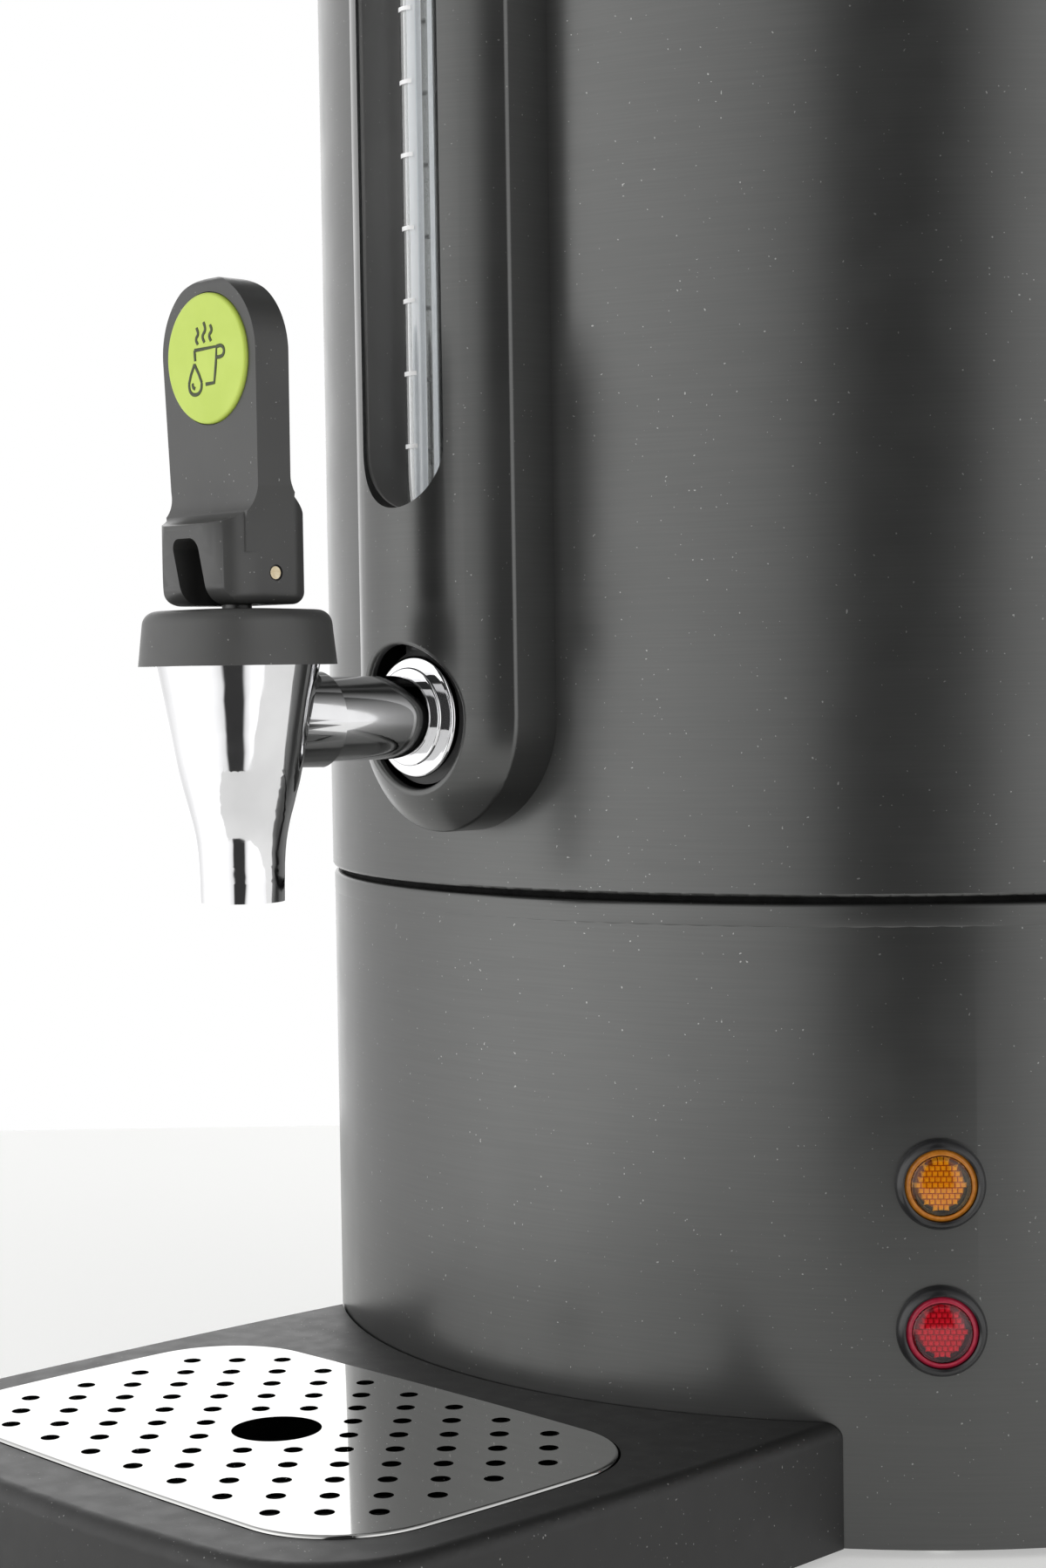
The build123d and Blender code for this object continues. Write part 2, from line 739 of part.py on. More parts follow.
outer_form = column_form(column_half_width, column_nose_radius, tap_z, column_bore_z)
inner_form = column_form(
    column_half_width - column_wall, column_nose_radius - column_wall, tap_z, column_bore_z
)
slot_middle = (slot_bottom + slot_top) / 2
slot_length = slot_top - slot_bottom
shoulder_y = -column_nose_center - sqrt(column_nose_radius**2 - column_half_width**2)
channel_back_y = slot_floor_y + column_wall
boss_start_y = -body_radius + 3

with BuildPart() as gauge_channel:
    with BuildSketch(front_plane(channel_back_y, slot_middle)):
        SlotOverall(slot_length + 2 * column_wall, 2 * (slot_half_width + column_wall), rotation=90)
    extrude(amount=30)
    add(outer_form, mode=Mode.INTERSECT)

with BuildPart() as column_cover:
    add(outer_form)
    fillet(column_cover.edges().filter_by_position(Axis.Y, shoulder_y - 0.2, shoulder_y + 0.2), radius=1.6)
    add(inner_form, mode=Mode.SUBTRACT)
    add(gauge_channel.part)
    with BuildSketch(front_plane(slot_floor_y, slot_middle)):
        SlotOverall(slot_length, 2 * slot_half_width, rotation=90)
    extrude(amount=30, mode=Mode.SUBTRACT)
    for screw_z in column_screw_heights:
        with BuildSketch(front_plane(boss_start_y, screw_z)):
            Circle(screw_radius * 2.2)
        extrude(amount=boss_start_y - channel_back_y + 0.5)
        with BuildSketch(front_plane(boss_start_y, screw_z)):
            Circle(screw_radius)
        extrude(amount=boss_start_y - channel_back_y + 0.7, mode=Mode.SUBTRACT)
    with BuildSketch(level(0)):
        Circle(shell_radius)
    extrude(amount=column_top + 20, mode=Mode.SUBTRACT)
    with BuildSketch(front_plane(slot_floor_y, tap_z)):
        Circle(pocket_radius)
    extrude(amount=30, mode=Mode.SUBTRACT)
    rims = column_cover.edges().filter_by_position(Axis.X, -0.1, 0.1)
    rims = rims.filter_by_position(Axis.Z, tap_z - pocket_radius - 0.5, tap_z + pocket_radius + 0.5)
    halves = (rims.group_by(Axis.Z)[0], rims.group_by(Axis.Z)[-1])
    fillet([half.sort_by(Axis.Y)[0] for half in halves], radius=pocket_round)
    with BuildSketch(level(gauge_bottom, gauge_y)):
        Circle(gauge_radius + seat_gap)
    extrude(amount=gauge_top - gauge_bottom, mode=Mode.SUBTRACT)
finish(column_cover, "column_cover")

with BuildPart() as column_screws:
    for screw_z in column_screw_heights:
        with BuildSketch(front_plane(-shell_inner + 2.2, screw_z)):
            Circle(screw_radius * 2)
        extrude(amount=2.0)
        with BuildSketch(front_plane(-shell_inner + 2.2, screw_z)):
            Circle(screw_radius)
        extrude(amount=-channel_back_y - shell_inner + 2.2)
finish(column_screws, "column_screws")

with BuildPart() as gauge_tube:
    with BuildSketch(level(gauge_bottom, gauge_y)):
        Circle(gauge_radius)
        Circle(gauge_radius - gauge_wall, mode=Mode.SUBTRACT)
    extrude(amount=gauge_top - gauge_bottom)
finish(gauge_tube, "gauge_tube")

gauge_block = 10.0  # depth of the block that joins the tube to the tap's shank
block_back_y = flange_back_y + gauge_block
passage_radius = 2.0
cross_radius = 1.6  # of the level run between the two upright passages
passage_y = flange_back_y + 4
spigot_bottom = tap_z + flange_radius + 1.2
passage_z = spigot_bottom + 5
web_top = tap_z + 24
with BuildPart() as gauge_base:
    with BuildSketch(front_plane(block_back_y, tap_z)):
        Circle(flange_radius + 1.5)
        with Locations((0, (web_top - tap_z) / 2)):
            Rectangle(2 * (gauge_radius + 1.4), web_top - tap_z)
    extrude(amount=gauge_block)
    with BuildSketch(level(spigot_bottom, gauge_y)):
        Circle(gauge_radius)
    extrude(amount=gauge_bottom - seat_gap - spigot_bottom)
    with BuildSketch(front_plane(block_back_y, tap_z)):
        Circle(shank_radius + seat_gap)
    extrude(amount=gauge_block, mode=Mode.SUBTRACT)
    with BuildSketch(level(passage_z, gauge_y)):
        Circle(passage_radius)
    extrude(amount=gauge_bottom - passage_z, mode=Mode.SUBTRACT)
    with BuildSketch(front_plane(passage_y, passage_z)):
        Circle(cross_radius)
    extrude(amount=passage_y - gauge_y, mode=Mode.SUBTRACT)
    with BuildSketch(level(tap_z, passage_y)):
        Circle(passage_radius)
    extrude(amount=passage_z - tap_z, mode=Mode.SUBTRACT)
finish(gauge_base, "gauge_base")

seal_wall = 1.0
seal_cap = 1.5
with BuildPart() as gauge_seals:
    with BuildSketch(level(web_top + seat_gap, gauge_y)):
        Circle(gauge_radius + seal_wall)
        Circle(gauge_radius, mode=Mode.SUBTRACT)
    extrude(amount=slot_bottom - column_wall - web_top - 2 * seat_gap)
    with BuildSketch(level(gauge_top - 2 * seal_cap, gauge_y)):
        Circle(gauge_radius + seal_wall)
    extrude(amount=3 * seal_cap)
    with BuildSketch(level(gauge_top - 2 * seal_cap, gauge_y)):
        Circle(gauge_radius)
    extrude(amount=2 * seal_cap, mode=Mode.SUBTRACT)
finish(gauge_seals, "gauge_seals")

with BuildPart() as gauge_scale:
    with BuildSketch(front_plane(slot_floor_y, slot_middle)):
        with Locations((-scale_offset, 0)):
            Rectangle(scale_width, slot_length - 2 * slot_half_width)
    extrude(amount=scale_thickness)
finish(gauge_scale, "gauge_scale")

# ---- tap -----------------------------------------------------------------------------------------
with BuildPart() as tap_body:
    with BuildSketch(front_plane(tap_y)):
        with BuildLine():
            cone = Line((spout_top_radius, spout_top_z), (spout_knee_radius, spout_knee_z))
            neck = Spline(
                cone @ 1,
                (spout_neck_radius, spout_neck_z),
                (spout_tip_radius, spout_tip_z),
                tangents=[cone % 1, (-0.02, -1)],
            )
            Polyline(
                neck @ 1,
                (outlet_radius, spout_tip_z),
                (outlet_radius, seat_z),
                (chamber_radius, seat_top_z),
                (chamber_radius + 2.0, spout_top_z - 4),
                (chamber_radius + 2.0, bonnet_top_z - bonnet_wall - seat_gap),
                (collar_radius, bonnet_top_z - bonnet_wall - seat_gap),
                (collar_radius, spout_top_z),
                cone @ 0,
            )
        make_face()
    revolve(axis=tap_axis)
    with BuildSketch(front_plane(flange_back_y, tap_z)):
        Circle(nipple_radius)
    extrude(amount=flange_back_y - tap_y)
    with BuildSketch(front_plane(tap_y + spout_top_radius + 3.5, tap_z)):
        Circle(nipple_radius + 1.2)
    extrude(amount=12)
    with BuildSketch(front_plane(-tank_radius + 22, tap_z)):
        Circle(shank_radius)
    extrude(amount=-flange_back_y - tank_radius + 22)
    with BuildSketch(front_plane(-tank_radius + 22, tap_z)):
        Circle(shank_bore)
    extrude(amount=-tap_y - tank_radius + 22, mode=Mode.SUBTRACT)
    with BuildSketch(front_plane(tap_y)):
        with BuildLine():
            Polyline(
                (0, seat_z - 1),
                (outlet_radius, seat_z - 1),
                (outlet_radius, seat_z),
                (chamber_radius, seat_top_z),
                (chamber_radius + 2.0, spout_top_z - 4),
                (chamber_radius + 2.0, bonnet_top_z),
                (0, bonnet_top_z),
                close=True,
            )
        make_face()
    revolve(axis=tap_axis, mode=Mode.SUBTRACT)
    with BuildSketch(level(tap_z, passage_y)):
        Circle(passage_radius)
    extrude(amount=shank_radius + 1, mode=Mode.SUBTRACT)
finish(tap_body, "tap_body")

with BuildPart() as tap_flange:
    with BuildSketch(front_plane(flange_back_y, tap_z)):
        Circle(flange_radius)
    extrude(amount=flange_thickness)
    fillet(tap_flange.edges().group_by(Axis.Y)[0], radius=0.8)
    with BuildSketch(front_plane(flange_front_y, tap_z)):
        Circle(nipple_radius + 1.7)
    extrude(amount=1.8)
    fillet(tap_flange.edges().group_by(Axis.Y)[0], radius=0.6)
    with BuildSketch(front_plane(flange_back_y, tap_z)):
        Circle(nipple_radius)
    extrude(amount=flange_thickness + 5, mode=Mode.SUBTRACT)
finish(tap_flange, "tap_flange")

with BuildPart() as outer_gasket:
    with BuildSketch(front_plane(-body_radius + 5, tap_z)):
        Circle(flange_radius + 1.5)
        Circle(shank_radius + seat_gap, mode=Mode.SUBTRACT)
    extrude(amount=-block_back_y - body_radius + 5)
    with BuildSketch(level(tap_z - 50)):
        Circle(shell_radius)
    extrude(amount=100, mode=Mode.SUBTRACT)
finish(outer_gasket, "outer_gasket")

with BuildPart() as shank_spacer:
    with BuildSketch(front_plane(-tank_radius + 2, tap_z)):
        Circle(shank_radius + 3)
        Circle(shank_radius + seat_gap, mode=Mode.SUBTRACT)
    extrude(amount=shell_radius - tank_radius + 2)
    with BuildSketch(level(tap_z - 50)):
        Circle(shell_radius + 10)
        Circle(shell_inner, mode=Mode.SUBTRACT)
    extrude(amount=100, mode=Mode.SUBTRACT)
    with BuildSketch(level(tap_z - 50)):
        Circle(tank_radius + gasket_thickness)
    extrude(amount=100, mode=Mode.SUBTRACT)
finish(shank_spacer, "shank_spacer")

with BuildPart() as tank_gaskets:
    with BuildSketch(front_plane(-tank_radius + 6, tap_z)):
        Circle(shank_radius + 5)
        Circle(shank_radius + seat_gap, mode=Mode.SUBTRACT)
    extrude(amount=12)
    with BuildSketch(level(tap_z - 50)):
        Circle(tank_radius)
        Circle(tank_radius - tank_wall, mode=Mode.SUBTRACT)
    extrude(amount=100, mode=Mode.SUBTRACT)
    with BuildSketch(level(tap_z - 50)):
        Circle(tank_radius * 2)
        Circle(tank_radius + gasket_thickness, mode=Mode.SUBTRACT)
    extrude(amount=100, mode=Mode.SUBTRACT)
    with BuildSketch(front_plane(nut_y, tap_z)):
        Rectangle(60, 60)
    extrude(amount=-30, mode=Mode.SUBTRACT)
finish(tank_gaskets, "tank_gaskets")

with BuildPart() as shank_nut:
    with BuildSketch(front_plane(nut_y, tap_z)):
        RegularPolygon(shank_radius + 5, 6)
        Circle(shank_radius, mode=Mode.SUBTRACT)
    extrude(amount=-7)
    chamfer(shank_nut.faces().sort_by(Axis.Y)[-1].outer_wire().edges(), length=0.8)
finish(shank_nut, "shank_nut")

bonnet_drop = 3.0  # rounded upper edge of the bonnet
with BuildPart() as tap_bonnet:
    with BuildSketch(front_plane(tap_y)):
        with BuildLine():
            skirt = Line((bonnet_radius, bonnet_z), (bonnet_top_radius, bonnet_top_z - bonnet_drop))
            crown = JernArc(skirt @ 1, skirt % 1, bonnet_drop, 85)
            Polyline(
                crown @ 1,
                (stem_radius + 5, bonnet_top_z),
                (stem_radius + 0.05, bonnet_top_z),
                (stem_radius + 0.05, bonnet_top_z - bonnet_wall),
                (collar_radius + seat_gap, bonnet_top_z - bonnet_wall),
                (collar_radius + seat_gap, bonnet_z),
                skirt @ 0,
            )
        make_face()
    revolve(axis=tap_axis)
finish(tap_bonnet, "tap_bonnet")

cup_shoulder = seat_top_z + 5.0  # the spring stands on this
cup_top = cup_shoulder + 3.0
cup_hub = stem_radius + 1.6
with BuildPart() as valve_stem:
    with BuildSketch(level(cup_shoulder - 2, tap_y)):
        Circle(stem_radius)
    extrude(amount=pin_z + stem_radius - cup_shoulder + 2)
    fillet(valve_stem.edges().group_by(Axis.Z)[-1], radius=stem_radius / 2)
    with BuildSketch(side_plane(tap_y, pin_z)):
        Circle(pin_radius + 0.05)
    extrude(amount=2 * stem_radius, both=True, mode=Mode.SUBTRACT)
finish(valve_stem, "valve_stem")

with BuildPart() as seat_cup:
    with BuildSketch(front_plane(tap_y)):
        with BuildLine():
            Polyline(
                (0, seat_z + slide_gap),
                (outlet_radius - 1, seat_z + slide_gap),
                (chamber_radius - 1, seat_top_z + slide_gap),
                (chamber_radius - 1, cup_shoulder),
                (cup_hub, cup_shoulder),
                (cup_hub, cup_top),
                (stem_radius, cup_top),
                (stem_radius, cup_shoulder - 2),
                (0, cup_shoulder - 2),
                close=True,
            )
        make_face()
    revolve(axis=tap_axis)
finish(seat_cup, "seat_cup")

spring_bottom = cup_shoulder + spring_wire / 2 + 0.1
spring_top = bonnet_top_z - bonnet_wall - spring_wire / 2 - 0.1
with BuildPart() as valve_spring:
    with BuildLine() as coil:
        wire_path = Helix(
            (spring_top - spring_bottom) / spring_turns,
            spring_top - spring_bottom,
            spring_radius,
            center=(0, tap_y, spring_bottom),
        )
    with BuildSketch(Plane(origin=wire_path @ 0, z_dir=wire_path % 0)):
        Circle(spring_wire / 2)
    sweep()
finish(valve_spring, "valve_spring")

# ---- lever: a paddle on a block whose rounded foot rolls on the bonnet ---------------------------
with BuildSketch(side_plane(tap_y, pin_z)) as lever_side:
    with BuildLine():
        FilletPolyline(
            (-lever_toe, -lever_foot),
            (lever_back, -lever_foot),
            (lever_back, lever_block_top + 1),
            (paddle_back, lever_neck),
            (paddle_back - 1, lever_height),
            (-paddle_front - paddle_lean, lever_height),
            (-paddle_front, lever_waist),
            (-lever_front, lever_block_top),
            radius=(lever_cam_radius, 3, 3, 5, 3, 2.5, 6.5, 1),
            close=True,
        )
    make_face()

with BuildPart() as lever_block:
    with BuildSketch(level(pin_z - lever_foot, tap_y)) as block_plan:
        with BuildLine():
            FilletPolyline(
                (-lever_half_width, -lever_front),
                (lever_half_width, -lever_front),
                (lever_half_width, lever_back),
                (-lever_half_width, lever_back),
                radius=(9.5, 9.5, 5, 5),
                close=True,
            )
        make_face()
    extrude(amount=lever_foot + lever_neck)
    fillet(lever_block.edges().group_by(Axis.Z)[0], radius=lever_edge)
    extrude(lever_side.sketch, amount=30, both=True, mode=Mode.INTERSECT)

with BuildPart() as lever_paddle:
    with BuildSketch(front_plane(tap_y, pin_z)):
        with BuildLine():
            shoulder_z = lever_height - paddle_half_width
            top = ThreePointArc(
                (paddle_half_width, shoulder_z), (0, lever_height), (-paddle_half_width, shoulder_z)
            )
            Polyline(
                top @ 1,
                (-paddle_half_width + 0.9, lever_neck),
                (-lever_half_width, lever_block_top),
                (-lever_half_width, 4),
                (lever_half_width, 4),
                (lever_half_width, lever_block_top),
                (paddle_half_width - 0.9, lever_neck),
                top @ 0,
            )
        make_face()
    extrude(amount=30, both=True)
    extrude(lever_side.sketch, amount=30, both=True, mode=Mode.INTERSECT)
    with BuildSketch(side_plane(tap_y, pin_z)):
        with Locations(((paddle_back - paddle_front) / 2 - 0.5, lever_height / 2)):
            Rectangle(paddle_back + paddle_front + 3.4, lever_height + 10)
    extrude(amount=30, both=True, mode=Mode.INTERSECT)

disc_lean = paddle_lean * (disc_height - lever_waist) / (lever_height - lever_waist)
disc_plane = Plane(
    origin=(0, tap_y - paddle_front - disc_lean, pin_z + disc_height),
    x_dir=(1, 0, 0),
    z_dir=(0, -(lever_height - lever_waist), -paddle_lean),
)
with BuildPart() as lever:
    add(lever_block.part)
    add(lever_paddle.part)
    with BuildSketch(front_plane(tap_y + stem_radius + 1, pin_z)):
        with Locations((0, -lever_foot)):
            RectangleRounded(lever_slot, 2 * (lever_slot_top + lever_foot), lever_slot_corner)
    extrude(amount=30, mode=Mode.SUBTRACT)
    with BuildSketch(side_plane(tap_y, pin_z)):
        Circle(pin_radius)
    extrude(amount=30, both=True, mode=Mode.SUBTRACT)
    for side in (-1, 1):
        with BuildSketch(side_plane(tap_y, pin_z).offset(side * (lever_half_width - pin_recess))):
            Circle(pin_radius * 1.3)
        extrude(amount=side * 5, mode=Mode.SUBTRACT)
    with BuildSketch(disc_plane):
        Circle(disc_radius + 0.2)
    extrude(amount=-1, mode=Mode.SUBTRACT)
finish(lever, "lever")

with BuildPart() as lever_disc:
    with BuildSketch(disc_plane.offset(-1)):
        Circle(disc_radius)
    extrude(amount=disc_thickness)
    fillet(lever_disc.edges().group_by(Axis.Y)[0], radius=0.7)
finish(lever_disc, "lever_disc")

with BuildPart() as lever_pin:
    with BuildSketch(side_plane(tap_y, pin_z)):
        Circle(pin_radius)
    extrude(amount=lever_half_width - 0.2, both=True)
finish(lever_pin, "lever_pin")

# ---- drip tray -----------------------------------------------------------------------------------
tray_plane = Plane(
    origin=(0, plate_y, tray_top_z),
    x_dir=(1, 0, 0),
    z_dir=(0, -sin(radians(tray_slope)), cos(radians(tray_slope))),
)
tray_back_y = -tray_half_width - 20


def tray_outline(inset):
    """The tray's plan, set in by this much; its rear edge lies inside the body."""
    half = tray_half_width - inset
    front_y = -tray_front + inset
    side_middle = (half + tray_side_bow, (front_y + tray_back_y) / 2)
    with BuildSketch() as plan:
        with BuildLine():
            nose = ThreePointArc((-half, front_y), (0, front_y - tray_nose), (half, front_y))
            right = ThreePointArc(nose @ 1, side_middle, (half - 1, tray_back_y))
            left = ThreePointArc(nose @ 0, (-side_middle[0], side_middle[1]), (-half + 1, tray_back_y))
            Line(right @ 1, left @ 1)
        make_face()
        fillet(plan.vertices().group_by(Axis.Y)[0], radius=tray_corner - inset)
    return plan.sketch


def plate_outline(inset):
    """The drip plate's plan about its own middle, set in by this much: bowed sides, round corners."""
    half_x = plate_half_x - inset
    half_y = plate_half_y - inset
    corner_x = half_x - plate_bow
    corner_y = half_y - plate_bow
    with BuildSketch() as plan:
        with BuildLine():
            ThreePointArc((-corner_x, corner_y), (0, half_y), (corner_x, corner_y))
            ThreePointArc((corner_x, corner_y), (half_x, 0), (corner_x, -corner_y))
            ThreePointArc((corner_x, -corner_y), (0, -half_y), (-corner_x, -corner_y))
            ThreePointArc((-corner_x, -corner_y), (-half_x, 0), (-corner_x, corner_y))
        make_face()
        fillet(plan.vertices(), radius=plate_corner - inset)
    return plan.sketch


basin_inset = 3.0  # ledge that the plate's rim stands on
with BuildPart() as drip_tray:
    with BuildSketch(level(foot_height)):
        add(tray_outline(0))
    extrude(amount=tray_top_z + 5)
    split(bisect_by=tray_plane, keep=Keep.BOTTOM)
    fillet(drip_tray.faces().sort_by(Axis.Z)[-1].edges(), radius=tray_edge)
    with BuildSketch(level(foot_height)):
        add(tray_outline(tray_wall))
        Circle(body_radius + slide_gap + tray_wall, mode=Mode.SUBTRACT)
    extrude(amount=tray_top_z - foot_height - 2 * tray_wall, mode=Mode.SUBTRACT)
    with BuildSketch(level(basin_floor_z - tray_wall, plate_y)):
        add(plate_outline(basin_inset - tray_wall))
    extrude(amount=tray_top_z - basin_floor_z)
    with BuildSketch(level(basin_floor_z, plate_y)):
        add(plate_outline(basin_inset))
    extrude(amount=tray_top_z, mode=Mode.SUBTRACT)
    with BuildSketch(tray_plane.offset(tray_edge)):
        add(plate_outline(-slide_gap))
    extrude(amount=-tray_edge - plate_rim + plate_stand, mode=Mode.SUBTRACT)
    with BuildSketch(level(0)):
        Circle(body_radius + slide_gap)
    extrude(amount=2 * tray_top_z, mode=Mode.SUBTRACT)
finish(drip_tray, "drip_tray")

with BuildPart() as tray_pads:
    with BuildSketch(level(0)):
        with Locations((0, plate_y)):
            with GridLocations(1.5 * plate_half_x, 1.3 * plate_half_y, 2, 2):
                Circle(tray_pad_radius)
    extrude(amount=basin_floor_z - tray_wall)
    fillet(tray_pads.edges().group_by(Axis.Z)[0], radius=0.5)
finish(tray_pads, "tray_pads")


def drain_holes():
    """Centres of the plate's small holes: a lattice inside the rim and off the big hole."""
    centres = []
    for row in range(-6, 7):
        for column in range(-10, 11):
            x = column * hole_pitch_x / 2
            y = row * hole_pitch_y
            off_x = max(abs(x) - plate_half_x + plate_corner, 0)
            off_y = max(abs(y) - plate_half_y + plate_corner, 0)
            inside = sqrt(off_x**2 + off_y**2) < plate_corner - 4 * drain_hole
            clear = sqrt(x**2 + y**2) > cup_hole + 2.2 * drain_hole
            if (row + column) % 2 and inside and clear:
                centres.append((x, y))
    return centres


with BuildPart() as drip_plate:
    with BuildSketch(tray_plane.offset(plate_stand)):
        add(plate_outline(0))
    extrude(amount=-plate_rim)
    fillet(drip_plate.faces().sort_by(Axis.Z)[-1].edges(), radius=plate_sheet * 0.9)
    with BuildSketch(tray_plane.offset(plate_stand - plate_sheet)):
        add(plate_outline(plate_sheet))
    extrude(amount=-plate_rim, mode=Mode.SUBTRACT)
    with BuildSketch(tray_plane.offset(plate_stand + 1)):
        Circle(cup_hole)
        with Locations(*drain_holes()):
            Circle(drain_hole)
    extrude(amount=-plate_rim, mode=Mode.SUBTRACT)
finish(drip_plate, "drip_plate")

# ---- lid -----------------------------------------------------------------------------------------
skirt_radius = rim_inner - 2 * slide_gap
with BuildPart() as lid:
    with BuildSketch(Plane.XZ):
        with BuildLine():
            edge = Line((lid_edge_radius, rim_z), (lid_edge_radius, rim_z + lid_wall))
            step = Line(edge @ 1, (skirt_radius + 2, rim_z + lid_wall + 1.5))
            dome = ThreePointArc(step @ 1, (skirt_radius * 0.6, lid_top - lid_rise * 0.3), (0, lid_top))
            Polyline(dome @ 1, (0, lid_top - lid_wall))
            under = ThreePointArc(
                (0, lid_top - lid_wall),
                (skirt_radius * 0.6, lid_top - lid_rise * 0.3 - lid_wall),
                (skirt_radius - lid_wall, rim_z + 1.5),
            )
            Polyline(
                under @ 1,
                (skirt_radius - lid_wall, rim_z - lid_skirt),
                (skirt_radius, rim_z - lid_skirt),
                (skirt_radius, rim_z),
                edge @ 0,
            )
        make_face()
    revolve(axis=Axis.Z)
    with BuildSketch(level(lid_top - 10)):
        Circle(handle_screw_radius + seat_gap)
    extrude(amount=20, mode=Mode.SUBTRACT)
finish(lid, "lid")

knob_foot = 9.0
with BuildPart() as lid_knob:
    with BuildSketch(Plane.XZ):
        with BuildLine():
            side = FilletPolyline(
                (knob_foot + 4, lid_top),
                (knob_foot, lid_top + knob_height * 0.2),
                (knob_foot + 0.5, lid_top + knob_height * 0.5),
                (knob_radius, lid_top + knob_height * 0.66),
                (knob_radius - 0.5, lid_top + knob_height * 0.84),
                radius=(6, 4, 3),
            )
            cap = TangentArc((0, knob_top), side @ 1, tangent=(1, 0))
            Polyline(cap @ 0, (0, lid_top), side @ 0)
        make_face()
    revolve(axis=Axis.Z)
    with BuildSketch(level(lid_top)):
        Circle(handle_screw_radius)
    extrude(amount=14, mode=Mode.SUBTRACT)
finish(lid_knob, "lid_knob")

with BuildPart() as lid_screw:
    with BuildSketch(level(lid_top - lid_wall - 2.5)):
        Circle(handle_screw_radius * 2)
    extrude(amount=2.5)
    with BuildSketch(level(lid_top - lid_wall)):
        Circle(handle_screw_radius)
    extrude(amount=lid_wall + 12)
finish(lid_screw, "lid_screw")

# ---- side handles --------------------------------------------------------------------------------
outer_x = shell_radius + handle_reach
gap_low = shell_radius + handle_foot
gap_high = outer_x - handle_grip
root_x = shell_radius - handle_corner
with BuildPart() as right_handle:
    with BuildSketch(level(handle_z - handle_depth / 2)):
        with Locations(((outer_x + root_x) / 2, 0)):
            RectangleRounded(outer_x - root_x, 2 * handle_half_length, handle_corner)
        with Locations(((gap_low + gap_high) / 2, 0)):
            RectangleRounded(
                gap_high - gap_low, 2 * (handle_half_length - handle_grip), 9, mode=Mode.SUBTRACT
            )
    extrude(amount=handle_depth)
    rounded = right_handle.faces().sort_by(Axis.Z)
    fillet(rounded[0].edges() + rounded[-1].edges(), radius=handle_round)
    with BuildSketch(level(handle_z - handle_depth)):
        Circle(shell_radius)
    extrude(amount=2 * handle_depth, mode=Mode.SUBTRACT)
    for turn in (90 - handle_screw_angle, 90 + handle_screw_angle):
        with BuildSketch(around(turn, shell_radius - 2, handle_z)):
            Circle(handle_screw_radius)
        extrude(amount=14, mode=Mode.SUBTRACT)
finish(right_handle, "right_handle")

with BuildPart() as left_handle:
    add(mirror(right_handle.part, about=Plane.YZ))
finish(left_handle, "left_handle")

with BuildPart() as handle_screws:
    for turn in handle_screw_turns:
        with BuildSketch(around(turn, shell_inner - 3, handle_z)):
            Circle(handle_screw_radius * 2)
        extrude(amount=2.8)
        with BuildSketch(around(turn, shell_inner - 3, handle_z)):
            Circle(handle_screw_radius)
        extrude(amount=15)
finish(handle_screws, "handle_screws")

# ---- coffee maker inside the tank ----------------------------------------------------------------
tank_inside_z = tank_floor + tank_wall
with BuildPart() as percolator_tube:
    with BuildSketch(Plane.XZ):
        with BuildLine():
            Polyline(
                (pump_radius, tank_inside_z),
                (pump_radius, tank_inside_z + 1.5),
                (riser_radius + 3, tank_inside_z + pump_height),
                (riser_radius, tank_inside_z + pump_height + 4),
                (riser_radius, riser_top),
                (riser_radius - 1, riser_top),
                (riser_radius - 1, tank_inside_z + pump_height + 3),
                (riser_radius + 1.6, tank_inside_z + pump_height - 1.2),
                (pump_radius - 1.2, tank_inside_z),
                close=True,
            )
        make_face()
    revolve(axis=Axis.Z)
    with BuildSketch(level(basket_bottom - 4)):
        Circle(riser_radius + 3)
        Circle(riser_radius, mode=Mode.SUBTRACT)
    extrude(amount=4)
finish(percolator_tube, "percolator_tube")

with BuildPart() as coffee_basket:
    with BuildSketch(level(basket_bottom)):
        Circle(basket_radius)
    extrude(amount=basket_height)
    fillet(coffee_basket.edges().group_by(Axis.Z)[0], radius=3)
    with BuildSketch(level(basket_bottom + basket_wall)):
        Circle(basket_radius - basket_wall)
    extrude(amount=basket_height, mode=Mode.SUBTRACT)
    with BuildSketch(level(basket_bottom)):
        Circle(riser_radius + 2)
    extrude(amount=basket_height)
    with BuildSketch(level(basket_bottom)):
        Circle(riser_radius + slide_gap)
        for ring, count in ((16, 8), (30, 14), (44, 20)):
            with PolarLocations(ring, count):
                Circle(1.2)
    extrude(amount=basket_height, mode=Mode.SUBTRACT)
finish(coffee_basket, "coffee_basket")

with BuildPart() as basket_cover:
    with BuildSketch(level(basket_bottom + basket_height)):
        Circle(basket_radius + 2)
    extrude(amount=basket_wall)
    with BuildSketch(level(basket_bottom + basket_height - 4)):
        Circle(basket_radius - basket_wall - slide_gap)
        Circle(basket_radius - 2 * basket_wall - slide_gap, mode=Mode.SUBTRACT)
    extrude(amount=4)
    with BuildSketch(level(basket_bottom + basket_height - 5)):
        Circle(riser_radius + slide_gap)
        for ring, count in ((22, 12), (36, 16), (50, 20)):
            with PolarLocations(ring, count):
                Circle(1.2)
    extrude(amount=10, mode=Mode.SUBTRACT)
finish(basket_cover, "basket_cover")
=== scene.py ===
import bpy
import bmesh
import json
from math import cos, hypot, pi, radians, sin
from mathutils import Matrix, Vector
from mathutils.bvhtree import BVHTree


